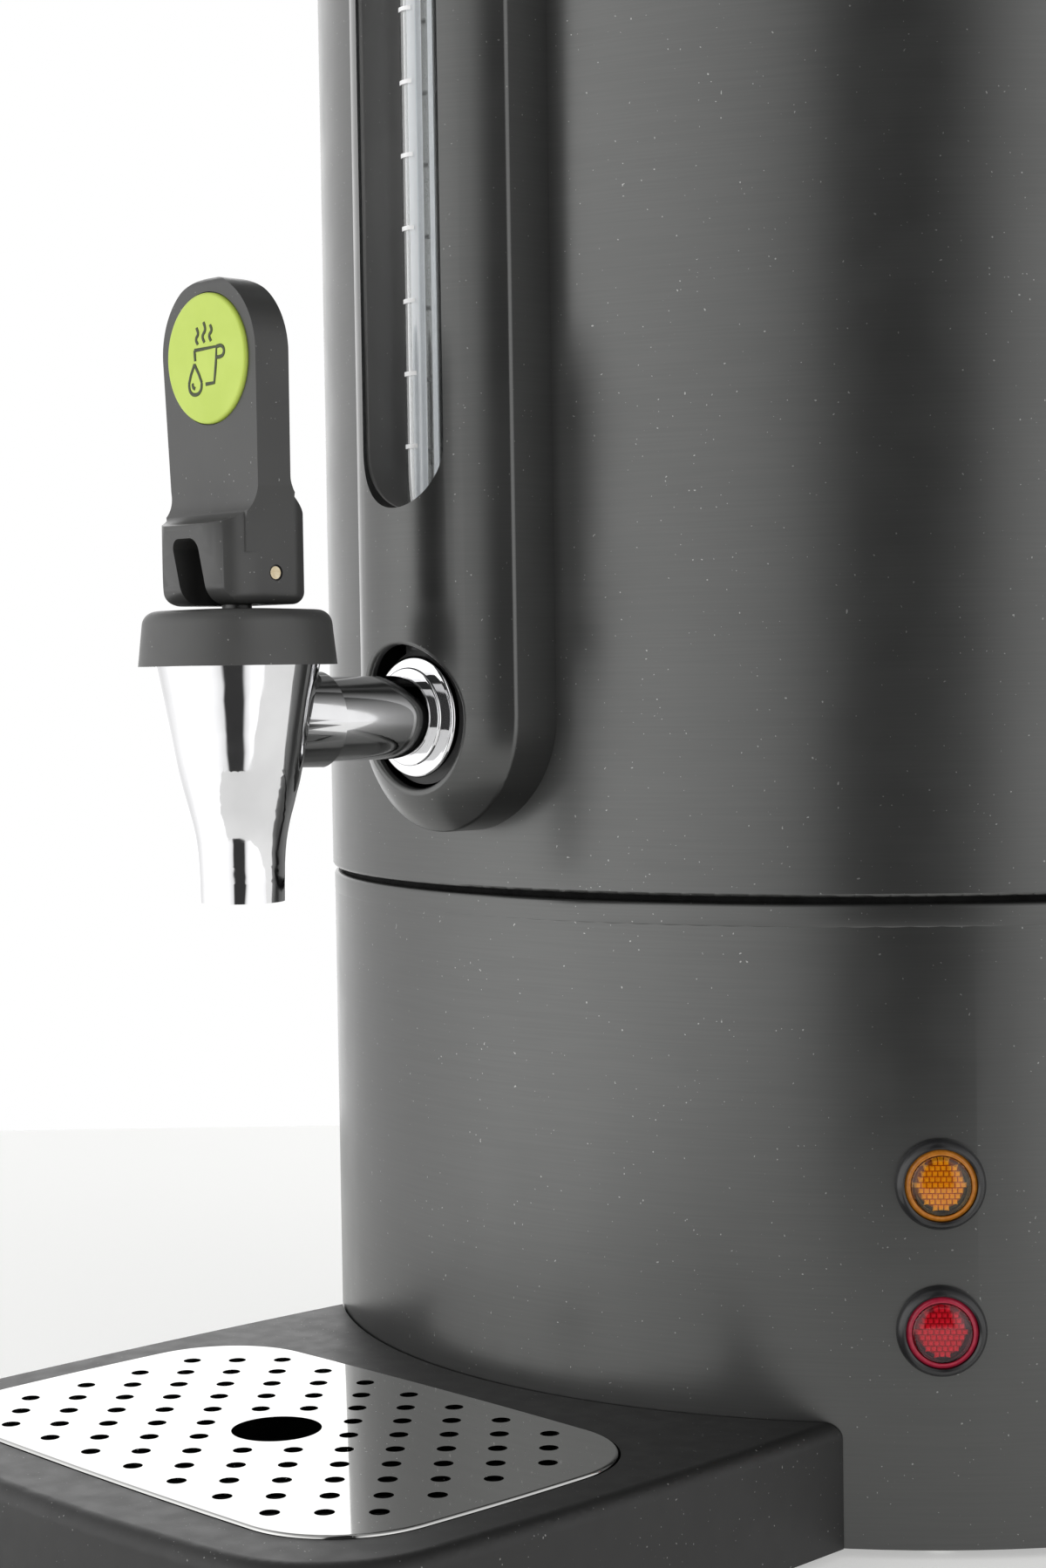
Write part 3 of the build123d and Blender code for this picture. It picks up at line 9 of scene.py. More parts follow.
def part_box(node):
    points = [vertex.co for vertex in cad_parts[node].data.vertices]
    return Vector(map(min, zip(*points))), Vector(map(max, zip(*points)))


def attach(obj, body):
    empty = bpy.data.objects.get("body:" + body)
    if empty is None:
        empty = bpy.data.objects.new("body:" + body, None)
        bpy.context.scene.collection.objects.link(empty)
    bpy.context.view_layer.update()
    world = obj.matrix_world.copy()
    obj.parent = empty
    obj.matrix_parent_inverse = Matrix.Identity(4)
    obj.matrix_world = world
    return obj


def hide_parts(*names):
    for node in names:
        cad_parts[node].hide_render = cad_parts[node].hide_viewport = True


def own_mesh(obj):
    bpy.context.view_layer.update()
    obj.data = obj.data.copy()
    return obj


# An electric coffee urn with a gauge column, a lever tap and a drip tray. Metres, +Z up, the
# tap towards -Y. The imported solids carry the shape; this file gives them their finishes and
# adds the gauge marks and enamel, the printed mug, the lamp covers, the fine edges at the seam
# and the slot, the pressed spring, the switch marks and the studio.

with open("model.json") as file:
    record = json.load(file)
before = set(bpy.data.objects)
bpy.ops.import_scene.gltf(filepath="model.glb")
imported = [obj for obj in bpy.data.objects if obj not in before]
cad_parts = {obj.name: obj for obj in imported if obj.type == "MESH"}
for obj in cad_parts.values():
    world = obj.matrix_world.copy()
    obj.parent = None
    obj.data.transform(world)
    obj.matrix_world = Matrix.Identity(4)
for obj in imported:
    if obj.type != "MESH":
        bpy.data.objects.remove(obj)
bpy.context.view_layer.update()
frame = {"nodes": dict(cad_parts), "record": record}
NODES = frame["nodes"]
MM = 0.001
EDGE_LIMIT = radians(46)  # sharper edges of the solids stay sharp
DUST_START, DUST_FULL = 0.83, 0.86  # only the noise's peaks become dust
DUST_COLOUR = (0.75, 0.75, 0.73, 1)


# ---- finishes ------------------------------------------------------------------------------------
def finish_named(name, colour, **sockets):
    """A Principled material with these constants set on its own sockets."""
    material = bpy.data.materials.new(name)
    material.use_nodes = True
    shader = material.node_tree.nodes["Principled BSDF"]
    shader.inputs["Base Color"].default_value = (*colour, 1)
    for socket, value in sockets.items():
        shader.inputs[socket.replace("_", " ")].default_value = value
    return material


def local_noise(material, scale, detail=3.0, stretch=(1, 1, 1)):
    """Noise over the object's own coordinates; scale is in waves to the metre."""
    nodes, links = material.node_tree.nodes, material.node_tree.links
    place = nodes.new("ShaderNodeTexCoord")
    mapping = nodes.new("ShaderNodeMapping")
    mapping.inputs["Scale"].default_value = stretch
    noise = nodes.new("ShaderNodeTexNoise")
    noise.inputs["Scale"].default_value = scale
    noise.inputs["Detail"].default_value = detail
    links.new(place.outputs["Object"], mapping.inputs["Vector"])
    links.new(mapping.outputs["Vector"], noise.inputs["Vector"])
    return noise.outputs["Fac"]


def spread(material, value, low, high, start=0.35, end=0.65):
    """The value's middle range laid out between low and high."""
    remap = material.node_tree.nodes.new("ShaderNodeMapRange")
    limits = {"From Min": start, "From Max": end, "To Min": low, "To Max": high}
    for socket, number in limits.items():
        remap.inputs[socket].default_value = number
    material.node_tree.links.new(value, remap.inputs["Value"])
    return remap.outputs["Result"]


def tone(material, value, dark, light):
    """Colours the surface between a dark and a light tone."""
    nodes, links = material.node_tree.nodes, material.node_tree.links
    mix = nodes.new("ShaderNodeMix")
    mix.data_type = "RGBA"
    mix.inputs["A"].default_value = (*dark, 1)
    mix.inputs["B"].default_value = (*light, 1)
    links.new(value, mix.inputs["Factor"])
    links.new(mix.outputs["Result"], nodes["Principled BSDF"].inputs["Base Color"])
    return mix.outputs["Result"]


def dull(material, value):
    """The value sets the roughness."""
    shader = material.node_tree.nodes["Principled BSDF"]
    material.node_tree.links.new(value, shader.inputs["Roughness"])


def relief(material, value, depth, strength=1.0):
    """The value raises and lowers the surface by this depth in metres."""
    nodes, links = material.node_tree.nodes, material.node_tree.links
    bump = nodes.new("ShaderNodeBump")
    bump.inputs["Strength"].default_value = strength
    bump.inputs["Distance"].default_value = depth
    links.new(value, bump.inputs["Height"])
    links.new(bump.outputs["Normal"], nodes["Principled BSDF"].inputs["Normal"])


def sparse_dust(material, base, scale, amount):
    """Scatters a few pale dust specks over the colour that reaches the surface."""
    nodes, links = material.node_tree.nodes, material.node_tree.links
    specks = spread(material, local_noise(material, scale, 0), 0, amount, DUST_START, DUST_FULL)
    mix = nodes.new("ShaderNodeMix")
    mix.data_type = "RGBA"
    mix.inputs["B"].default_value = DUST_COLOUR
    links.new(specks, mix.inputs["Factor"])
    links.new(base, mix.inputs["A"])
    links.new(mix.outputs["Result"], nodes["Principled BSDF"].inputs["Base Color"])


def satin_charcoal():
    """Charcoal satin coat on sheet steel, drawn round the body in very fine lines."""
    dark, light = (0.112, 0.113, 0.111), (0.118, 0.119, 0.117)
    coat = finish_named("satin charcoal coat", light, Metallic=0.9, IOR=1.5)
    lines = local_noise(coat, 2400, 2, (0.02, 0.02, 1))
    base = tone(coat, spread(coat, lines, 0, 1), dark, light)
    sparse_dust(coat, base, 1700, 0.35)
    dull(coat, spread(coat, local_noise(coat, 60), 0.28, 0.31))
    relief(coat, local_noise(coat, 3400, 2, (0.15, 0.15, 1)), 0.00001, 0.2)
    return coat


def moulded_black(name, roughness, light, depth=0.00003):
    """Soft black plastic with the fine texture of its mould and a little dust."""
    plastic = finish_named(name, (light, light, light), IOR=1.5)
    low = light * 0.86
    clouds = spread(plastic, local_noise(plastic, 30), 0, 1)
    base = tone(plastic, clouds, (low, low, low * 0.98), (light, light, light * 0.98))
    sparse_dust(plastic, base, 1900, 0.3)
    dull(plastic, spread(plastic, local_noise(plastic, 180), roughness - 0.03, roughness + 0.03))
    relief(plastic, local_noise(plastic, 3800, 2), depth, 0.35)
    return plastic


def glossy_black():
    """Polished black plastic with faint waves."""
    gloss = finish_named("glossy black plastic", (0.02, 0.02, 0.021), IOR=1.5)
    clouds = spread(gloss, local_noise(gloss, 80), 0, 1)
    tone(gloss, clouds, (0.017, 0.017, 0.018), (0.024, 0.024, 0.025))
    dull(gloss, spread(gloss, local_noise(gloss, 220), 0.16, 0.24))
    relief(gloss, local_noise(gloss, 600, 1), 0.00001, 0.2)
    return gloss


def polished_chrome():
    """Bright chrome with light wiping marks."""
    chrome = finish_named("polished chrome", (0.83, 0.83, 0.84), Metallic=1.0)
    clouds = spread(chrome, local_noise(chrome, 70), 0, 1)
    tone(chrome, clouds, (0.79, 0.79, 0.80), (0.87, 0.87, 0.88))
    dull(chrome, spread(chrome, local_noise(chrome, 160), 0.03, 0.08))
    relief(chrome, local_noise(chrome, 300, 1), 0.00001, 0.12)
    return chrome


def brushed(name, colour, roughness, stretch, scale=900):
    """Stainless steel with its lines drawn along one axis."""
    steel = finish_named(name, colour, Metallic=1.0)
    dark = tuple(c * 0.86 for c in colour)
    lines = local_noise(steel, scale, 3, stretch)
    tone(steel, spread(steel, lines, 0, 1), dark, colour)
    dull(steel, spread(steel, lines, roughness - 0.05, roughness + 0.07))
    relief(steel, lines, 0.00001, 0.3)
    return steel


def polished_plate():
    """The drip plate: nearly a mirror, with a few dust specks and dried drops."""
    steel, dust = (0.58, 0.58, 0.57), (0.72, 0.72, 0.70)
    plate = finish_named("polished plate steel", steel, Metallic=1.0)
    specks = spread(plate, local_noise(plate, 1500, 1), 0, 1, 0.76, 0.79)
    tone(plate, specks, steel, dust)
    nodes, links = plate.node_tree.nodes, plate.node_tree.links
    haze = spread(plate, local_noise(plate, 45), 0.025, 0.05)
    rough = nodes.new("ShaderNodeMath")
    rough.operation = "MULTIPLY_ADD"
    rough.inputs[1].default_value = 0.4
    links.new(specks, rough.inputs[0])
    links.new(haze, rough.inputs[2])
    dull(plate, rough.outputs["Value"])
    relief(plate, local_noise(plate, 130, 1), 0.00002, 0.08)
    return plate


def turned_brass():
    """Brass of the lever's pin, as it comes off the lathe."""
    brass = finish_named("turned brass", (0.68, 0.58, 0.40), Metallic=1.0)
    clouds = spread(brass, local_noise(brass, 900), 0, 1)
    tone(brass, clouds, (0.60, 0.50, 0.33), (0.74, 0.65, 0.47))
    dull(brass, spread(brass, local_noise(brass, 1500), 0.22, 0.34))
    return brass


def clear_glass():
    """Clear tube glass, faintly grey, with drawn streaks along its length."""
    glass = finish_named(
        "clear tube glass", (0.93, 0.95, 0.95), Roughness=0.02, IOR=1.52,
        Transmission_Weight=1.0, Coat_Weight=1.0, Coat_Roughness=0.03, Coat_IOR=1.7,
    )
    relief(glass, local_noise(glass, 300, 1, (1, 1, 0.02)), 0.00001, 0.04)
    return glass


def lens_glass(name, colour):
    """Coloured clear plastic of a lamp's lens."""
    lens = finish_named(name, colour, Roughness=0.04, IOR=1.49, Transmission_Weight=1.0)
    relief(lens, local_noise(lens, 500, 1), 0.00001, 0.1)
    return lens


def prism_plastic(name, dark, light, painted_glow):
    """Coloured plastic inside a lamp, in tones that vary at random, with a painted glow standing in
    for the light that gathers in it.
    """
    prism = finish_named(
        name, light, Roughness=0.22, IOR=1.49,
        # the emission is painted light, a glow standing in for light gathered in the plastic
        Emission_Color=(*light, 1), Emission_Strength=painted_glow,
    )
    tone(prism, spread(prism, local_noise(prism, 1100, 2), 0, 1), dark, light)
    return prism


def joint_black_painted_shade():
    """Dull black, darker than the part's own plastic: painted shade for deep joints that hardly any
    light reaches.
    """
    dull_black = finish_named("joint black with painted shade", (0.008, 0.008, 0.008), IOR=1.2)
    clouds = spread(dull_black, local_noise(dull_black, 300), 0, 1)
    tone(dull_black, clouds, (0.006, 0.006, 0.006), (0.01, 0.01, 0.01))
    dull(dull_black, spread(dull_black, local_noise(dull_black, 700), 0.8, 0.9))
    return dull_black


def enamel_with_painted_glow():
    """White enamel on the inside of the tube's back, with a painted glow that brightens it beyond
    the light reaching it.
    """
    milk = finish_named(
        "white tube enamel with painted glow", (0.88, 0.89, 0.91), Roughness=0.3, IOR=1.5,
        # the emission is painted light: a glow standing in for the light that reaches the enamel
        # through the glass
        Emission_Color=(0.93, 0.96, 1, 1), Emission_Strength=0.24,
    )
    tone(milk, spread(milk, local_noise(milk, 500), 0, 1), (0.85, 0.86, 0.88), (0.90, 0.91, 0.93))
    return milk


def lime_disc():
    """Lime green plastic of the disc on the lever."""
    disc = finish_named("lime disc plastic", (0.52, 0.66, 0.10), IOR=1.48)
    tone(disc, spread(disc, local_noise(disc, 120), 0, 1), (0.50, 0.64, 0.09), (0.54, 0.68, 0.11))
    dull(disc, spread(disc, local_noise(disc, 400), 0.34, 0.42))
    relief(disc, local_noise(disc, 2500, 2), 0.00002, 0.15)
    return disc


def soft_rubber():
    """Matt black rubber of the feet and seals."""
    rubber = finish_named("soft black rubber", (0.022, 0.022, 0.022), IOR=1.45)
    clouds = spread(rubber, local_noise(rubber, 200), 0, 1)
    tone(rubber, clouds, (0.018, 0.018, 0.018), (0.03, 0.03, 0.029))
    dull(rubber, spread(rubber, local_noise(rubber, 500), 0.7, 0.85))
    relief(rubber, local_noise(rubber, 2400, 3), 0.00004, 0.5)
    return rubber


def cast_aluminium():
    """Rough cast aluminium of the heater parts."""
    cast = finish_named("cast aluminium", (0.72, 0.72, 0.73), Metallic=1.0)
    tone(cast, spread(cast, local_noise(cast, 300), 0, 1), (0.62, 0.62, 0.63), (0.78, 0.78, 0.79))
    dull(cast, spread(cast, local_noise(cast, 700), 0.45, 0.6))
    relief(cast, local_noise(cast, 1200, 3), 0.00004, 0.4)
    return cast


def grey_scale():
    """The dark grey strip behind the gauge tube."""
    scale = finish_named("grey scale strip", (0.09, 0.09, 0.09), Roughness=0.35, IOR=1.5)
    clouds = spread(scale, local_noise(scale, 260), 0, 1)
    tone(scale, clouds, (0.08, 0.08, 0.08), (0.10, 0.10, 0.10))
    return scale


def printed_white():
    """White ink of the gauge and switch marks."""
    white = finish_named("white print", (0.92, 0.92, 0.92), Roughness=0.45, IOR=1.45)
    clouds = spread(white, local_noise(white, 900), 0, 1)
    tone(white, clouds, (0.86, 0.86, 0.86), (0.95, 0.95, 0.95))
    return white


def printed_dark():
    """Dark ink of the mug on the disc."""
    ink = finish_named("dark olive print", (0.045, 0.06, 0.02), Roughness=0.5, IOR=1.45)
    tone(ink, spread(ink, local_noise(ink, 900), 0, 1), (0.04, 0.052, 0.018), (0.055, 0.07, 0.026))
    return ink


FINISHES = {
    "body_paint": satin_charcoal(),
    "black_plastic": moulded_black("moulded black plastic", 0.45, 0.035),
    "rocker_black": glossy_black(),
    "bezel_black": glossy_black(),
    "lens_amber": lens_glass("amber lens", (1.0, 0.76, 0.34)),
    "lens_red": lens_glass("red lens", (1.0, 0.36, 0.46)),
    "chrome": polished_chrome(),
    "plate_steel": polished_plate(),
    "steel": brushed("brushed stainless steel", (0.62, 0.62, 0.61), 0.28, (1, 1, 0.04)),
    "brass": turned_brass(),
    "aluminium": cast_aluminium(),
    "gauge_glass": clear_glass(),
    "scale_grey": grey_scale(),
    "disc_green": lime_disc(),
    "rubber": soft_rubber(),
}
OWN_FINISHES = {
    # the lever and the cap are painted lighter than the black plastic they share: painted light
    "lever": moulded_black("satin tap plastic with painted light", 0.34, 0.055, 0.00002),
    "tap_bonnet": moulded_black("satin cap plastic with painted light", 0.40, 0.07, 0.00002),
    # the tray is painted darker than that plastic: painted shade where less light reaches it
    "drip_tray": moulded_black("tray plastic with painted shade", 0.46, 0.015),
    # the seam ring takes this painted shade in place of its own black plastic
    "seam_ring": joint_black_painted_shade(),
    "valve_stem": brushed("darkened stem steel", (0.10, 0.10, 0.10), 0.35, (1, 1, 0.04)),
}


def shading_tree():
    """Joins a node's loose triangles for shading and keeps only its real edges sharp."""
    tree = bpy.data.node_groups.new("smooth shading", "GeometryNodeTree")
    tree.interface.new_socket("Geometry", in_out="INPUT", socket_type="NodeSocketGeometry")
    limit = tree.interface.new_socket("Edge angle", in_out="INPUT", socket_type="NodeSocketFloat")
    tree.interface.new_socket("Geometry", in_out="OUTPUT", socket_type="NodeSocketGeometry")
    nodes, links = tree.nodes, tree.links
    start = nodes.new("NodeGroupInput")
    merge = nodes.new("GeometryNodeMergeByDistance")
    merge.inputs["Distance"].default_value = 0.002 * MM
    angle = nodes.new("GeometryNodeInputMeshEdgeAngle")
    above = nodes.new("FunctionNodeCompare")
    above.data_type = "FLOAT"
    above.operation = "GREATER_THAN"
    faces = nodes.new("GeometryNodeSetShadeSmooth")
    faces.domain = "FACE"
    edges = nodes.new("GeometryNodeSetShadeSmooth")
    edges.domain = "EDGE"
    edges.inputs["Shade Smooth"].default_value = False
    end = nodes.new("NodeGroupOutput")
    links.new(start.outputs["Geometry"], merge.inputs["Geometry"])
    links.new(merge.outputs["Geometry"], faces.inputs["Geometry"])
    links.new(faces.outputs["Geometry"], edges.inputs["Geometry"])
    links.new(angle.outputs["Unsigned Angle"], above.inputs["A"])
    links.new(start.outputs["Edge angle"], above.inputs["B"])
    links.new(above.outputs["Result"], edges.inputs["Selection"])
    links.new(edges.outputs["Geometry"], end.inputs["Geometry"])
    return tree, limit.identifier


def dress_nodes():
    """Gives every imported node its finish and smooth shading."""
    tree, limit = shading_tree()
    for part in frame["record"]["subparts"]:
        node = NODES[part["node"]]
        finish = OWN_FINISHES.get(part["node"], FINISHES[part["material_slot"]])
        for slot in node.material_slots:
            slot.material = finish
        shade = node.modifiers.new("smooth shading", "NODES")
        shade.node_group = tree
        shade[limit] = EDGE_LIMIT
        even = node.modifiers.new("even shading", "WEIGHTED_NORMAL")
        even.keep_sharp = True


# ---- making pieces -------------------------------------------------------------------------------
def piece_from(name, mesh, finish, body):
    """A finished piece in the row's frame that rides on this body."""
    piece = bpy.data.objects.new(name, mesh)
    bpy.context.scene.collection.objects.link(piece)
    if not mesh.materials:
        mesh.materials.append(finish)
    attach(piece, body)
    return piece


def plain_mesh(thing):
    """The evaluated object as a plain mesh with its place in its vertices."""
    bpy.context.view_layer.update()
    evaluated = thing.evaluated_get(bpy.context.evaluated_depsgraph_get())
    mesh = bpy.data.meshes.new_from_object(evaluated)
    mesh.transform(thing.matrix_world)
    bpy.data.objects.remove(thing)
    return mesh


def face_towards(node, direction):
    """Centre and normal of a node's flat face that looks in this direction."""
    direction = Vector(direction).normalized()
    faces = [face for face in NODES[node].data.polygons if face.normal.dot(direction) > 0.995]
    area = sum(face.area for face in faces)
    centre = sum((face.center * face.area for face in faces), Vector()) / area
    normal = sum((face.normal * face.area for face in faces), Vector()).normalized()
    return centre, normal


def plane_matrix(centre, normal, up=(0, 0, 1)):
    """A matrix whose Z is the normal, whose Y is as near up as can be."""
    z = Vector(normal).normalized()
    x = Vector(up).cross(z).normalized()
    y = z.cross(x)
    turn = Matrix((x, y, z)).transposed().to_4x4()
    return Matrix.Translation(centre) @ turn


def repeat_tree():
    """Puts one piece at every point of the carrier and joins the copies into one mesh."""
    tree = bpy.data.node_groups.new("repeated piece", "GeometryNodeTree")
    tree.interface.new_socket("Geometry", in_out="INPUT", socket_type="NodeSocketGeometry")
    piece = tree.interface.new_socket("Piece", in_out="INPUT", socket_type="NodeSocketObject")
    finish = tree.interface.new_socket("Finish", in_out="INPUT", socket_type="NodeSocketMaterial")
    tree.interface.new_socket("Geometry", in_out="OUTPUT", socket_type="NodeSocketGeometry")
    nodes, links = tree.nodes, tree.links
    start = nodes.new("NodeGroupInput")
    shape = nodes.new("GeometryNodeObjectInfo")
    copies = nodes.new("GeometryNodeInstanceOnPoints")
    joined = nodes.new("GeometryNodeRealizeInstances")
    dressed = nodes.new("GeometryNodeSetMaterial")
    end = nodes.new("NodeGroupOutput")
    links.new(start.outputs["Geometry"], copies.inputs["Points"])
    links.new(start.outputs["Piece"], shape.inputs["Object"])
    links.new(shape.outputs["Geometry"], copies.inputs["Instance"])
    links.new(copies.outputs["Instances"], joined.inputs["Geometry"])
    links.new(joined.outputs["Geometry"], dressed.inputs["Geometry"])
    links.new(start.outputs["Finish"], dressed.inputs["Material"])
    links.new(dressed.outputs["Geometry"], end.inputs["Geometry"])
    return tree, piece.identifier, finish.identifier


def repeated(name, piece_mesh, places, finish):
    """A plain mesh with this piece at each of these places."""
    tree, piece, material = repeat_tree()
    pattern = bpy.data.objects.new(name + " pattern", piece_mesh)
    points = bpy.data.meshes.new(name + " places")
    points.from_pydata([tuple(place) for place in places], [], [])
    carrier = bpy.data.objects.new(name + " carrier", points)
    for thing in (pattern, carrier):
        bpy.context.scene.collection.objects.link(thing)
    copies = carrier.modifiers.new("copies", "NODES")
    copies.node_group = tree
    copies[piece] = pattern
    copies[material] = finish
    mesh = plain_mesh(carrier)
    bpy.data.objects.remove(pattern)
    return mesh


def mesh_of(name, bm, smooth=False):
    """The bmesh as a mesh with its normals outwards."""
    bmesh.ops.recalc_face_normals(bm, faces=bm.faces)
    for face in bm.faces:
        face.smooth = smooth
    mesh = bpy.data.meshes.new(name)
    bm.to_mesh(mesh)
    bm.free()
    return mesh


def turned(name, outline, place, steps=96):
    """A body of revolution: a closed outline of (radius, height) turned about the place's Z."""
    bm = bmesh.new()
    rings = []
    for step in range(steps):
        turn = 2 * pi * step / steps
        rings.append([bm.verts.new((r * cos(turn), r * sin(turn), z)) for r, z in outline])
    for ring, following in zip(rings, rings[1:] + rings[:1]):
        for k in range(len(outline)):
            after = (k + 1) % len(outline)
            corners = (ring[k], following[k], following[after], ring[after])
            bm.faces.new(corners)
    bmesh.ops.remove_doubles(bm, verts=bm.verts, dist=1e-7)
    bmesh.ops.dissolve_degenerate(bm, edges=bm.edges, dist=1e-7)
    mesh = mesh_of(name, bm, smooth=True)
    mesh.transform(place)
    return mesh


# ---- gauge ---------------------------------------------------------------------------------------
FIRST_MARK, MARK_PITCH, MARK_COUNT = 0.2289, 0.01522, 10
MARK_TURNS = (radians(-32), radians(27))  # round the tube, from its front
MARK_HALF_HEIGHT = 0.45 * MM
MARK_LAYER = (0.00003, 0.00010)  # the ink's two skins, out from the glass
TUBE_WALL, ENAMEL_END_GAP = 1.0 * MM, 1.0 * MM
ENAMEL_LAYER = (0.00010, 0.00002)  # the enamel's two skins, in from the bore
ENAMEL_TURNS = (("left", -141, -70), ("right", -215, -172))  # degrees, from the tube's front


def arc_band(name, radii, turns, heights, steps=14):
    """A thin curved band round the Z axis: inner and outer radius, two angles and two heights."""
    bm = bmesh.new()
    columns = []
    for step in range(steps + 1):
        turn = turns[0] + (turns[1] - turns[0]) * step / steps
        spots = [(r * sin(turn), -r * cos(turn), z) for r in radii for z in heights]
        columns.append([bm.verts.new(spot) for spot in spots])
    for a, b in zip(columns, columns[1:]):
        for one, two in ((2, 3), (1, 0), (3, 1), (0, 2)):
            bm.faces.new((a[one], b[one], b[two], a[two]))
    for end in (columns[0], columns[-1]):
        bm.faces.new((end[0], end[2], end[3], end[1]))
    return mesh_of(name, bm)


def gauge_marks():
    """White printed marks round the left front of the gauge tube at an even pitch."""
    low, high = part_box("gauge_tube")
    radius, centre_y = (high.x - low.x) / 2, (low.y + high.y) / 2
    radii = tuple(radius + layer for layer in MARK_LAYER)
    mark = arc_band("gauge mark", radii, MARK_TURNS, (-MARK_HALF_HEIGHT, MARK_HALF_HEIGHT))
    places = [(0, centre_y, FIRST_MARK + k * MARK_PITCH) for k in range(MARK_COUNT)]
    white = printed_white()
    marks = repeated("gauge_marks", mark, places, white)
    piece_from("gauge_marks", marks, white, "urn")


def gauge_enamel():
    """Two white enamel bands inside the tube's back, with a clear line between them; the enamel
    carries a painted glow.
    """
    low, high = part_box("gauge_tube")
    bore = (high.x - low.x) / 2 - TUBE_WALL
    radii = tuple(bore - layer for layer in ENAMEL_LAYER)
    heights = (low.z + ENAMEL_END_GAP, high.z - ENAMEL_END_GAP)
    milk = enamel_with_painted_glow()
    for name, start, end in ENAMEL_TURNS:
        turns = (radians(start), radians(end))
        band = arc_band(f"enamel_{name}", radii, turns, heights)
        band.transform(Matrix.Translation((0, (low.y + high.y) / 2, 0)))
        piece_from(f"gauge_enamel_{name}", band, milk, "urn")


# ---- pictogram on the lever's disc ---------------------------------------------------------------
MUG_LINE, MUG_FLATNESS, MUG_LIFT = 0.74 * MM, 0.2, 0.00004
MUG_STROKES = (  # (points in millimetres, closed, smooth)
    ([(-3.4, 1.8), (3.9, 2.0), (3.5, -1.2), (3.1, -3.2), (2.7, -5.0), (-0.1, -5.1)], False, False),
    ([(-3.4, 1.8), (-3.3, -0.3)], False, False),
    ([(3.9, 2.0), (5.7, 1.9), (6.3, 1.1), (5.9, 0.2), (5.0, -0.1), (3.7, -0.1)], False, True),
    ([(-3.6, -0.9), (-4.9, -2.9), (-5.7, -4.7)], False, False),
    ([(-3.6, -0.9), (-2.3, -2.9), (-1.4, -4.7)], False, False),
    ([(-5.7, -4.7), (-5.3, -6.2), (-3.6, -6.9), (-1.9, -6.2), (-1.4, -4.7)], False, True),
    ([(-4.5, -4.6), (-4.3, -5.4), (-3.7, -5.7)], False, True),
    ([(-2.2, 2.9), (-2.7, 3.9), (-2.0, 5.0), (-2.4, 6.2)], False, True),
    ([(0.0, 3.1), (-0.5, 4.3), (0.4, 5.6), (0.0, 7.1)], False, True),
    ([(2.2, 3.2), (1.7, 4.3), (2.5, 5.3), (2.1, 6.4)], False, True),
)


def drawn_lines(name, strokes, width, place, flatness):
    """Raised round-ended lines: each stroke is (points, closed, smooth) in millimetres."""
    curve = bpy.data.curves.new(name, "CURVE")
    curve.dimensions = "3D"
    curve.bevel_depth = width / 2
    curve.bevel_resolution = 2
    curve.resolution_u = 8
    curve.use_fill_caps = True
    for points, closed, smooth in strokes:
        spline = curve.splines.new("BEZIER")
        spline.bezier_points.add(len(points) - 1)
        for knot, (x, y) in zip(spline.bezier_points, points):
            knot.co = (x * MM, y * MM, 0)
            knot.handle_left_type = "AUTO" if smooth else "VECTOR"
            knot.handle_right_type = "AUTO" if smooth else "VECTOR"
        spline.use_cyclic_u = closed
    drawn = bpy.data.objects.new(name, curve)
    bpy.context.scene.collection.objects.link(drawn)
    drawn.matrix_world = place @ Matrix.Diagonal((1, 1, flatness, 1))
    return plain_mesh(drawn)


def cup_pictogram():
    """A mug with three wisps of steam and a drop, printed on the disc."""
    centre, normal = face_towards("lever_disc", (0, -1, 0))
    place = plane_matrix(centre + normal * MUG_LIFT, normal)
    mesh = drawn_lines("cup_pictogram", MUG_STROKES, MUG_LINE, place, MUG_FLATNESS)
    piece_from("cup_pictogram", mesh, printed_dark(), "lever")


# ---- lamps ---------------------------------------------------------------------------------------
LENS_RADIUS, DOME_RADIUS, LINING_RADIUS = 0.00735, 0.0062, 0.0053
GRID_RADIUS, GRID_PITCH = 0.00470, 0.00112
COVER_WALL = 0.00085
LAMP_FLOOR, GRID_FOOT = -0.0046, -0.0025  # heights from the bezel's front edge
# each lamp's plastics: (darker tone, lighter tone, painted glow); the grid's prisms are painted
# lighter and the gaps between them darker, painted light and painted shade on one lens plastic
AMBER_TONES = {
    "tube": ((0.42, 0.14, 0.012), (0.52, 0.19, 0.02), 0.04),
    "gaps": ((0.36, 0.10, 0.002), (0.45, 0.14, 0.004), 0.05),
    "grid": ((0.80, 0.40, 0.01), (0.95, 0.56, 0.02), 0.15),
}
RED_TONES = {
    "tube": ((0.34, 0.012, 0.04), (0.42, 0.02, 0.05), 0.04),
    "gaps": ((0.30, 0.004, 0.02), (0.40, 0.006, 0.03), 0.05),
    "grid": ((0.66, 0.02, 0.05), (0.78, 0.035, 0.08), 0.12),
}


def lamp_place(node):
    """The lamp's own frame: Z outwards along its axis, at the front edge of its bezel."""
    low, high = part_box(node)
    middle = (low + high) / 2
    out = Vector((middle.x, middle.y, 0)).normalized()
    reach = max(corner.co.dot(out) for corner in NODES[node].data.vertices)
    return plane_matrix(out * reach + Vector((0, 0, middle.z)), out)


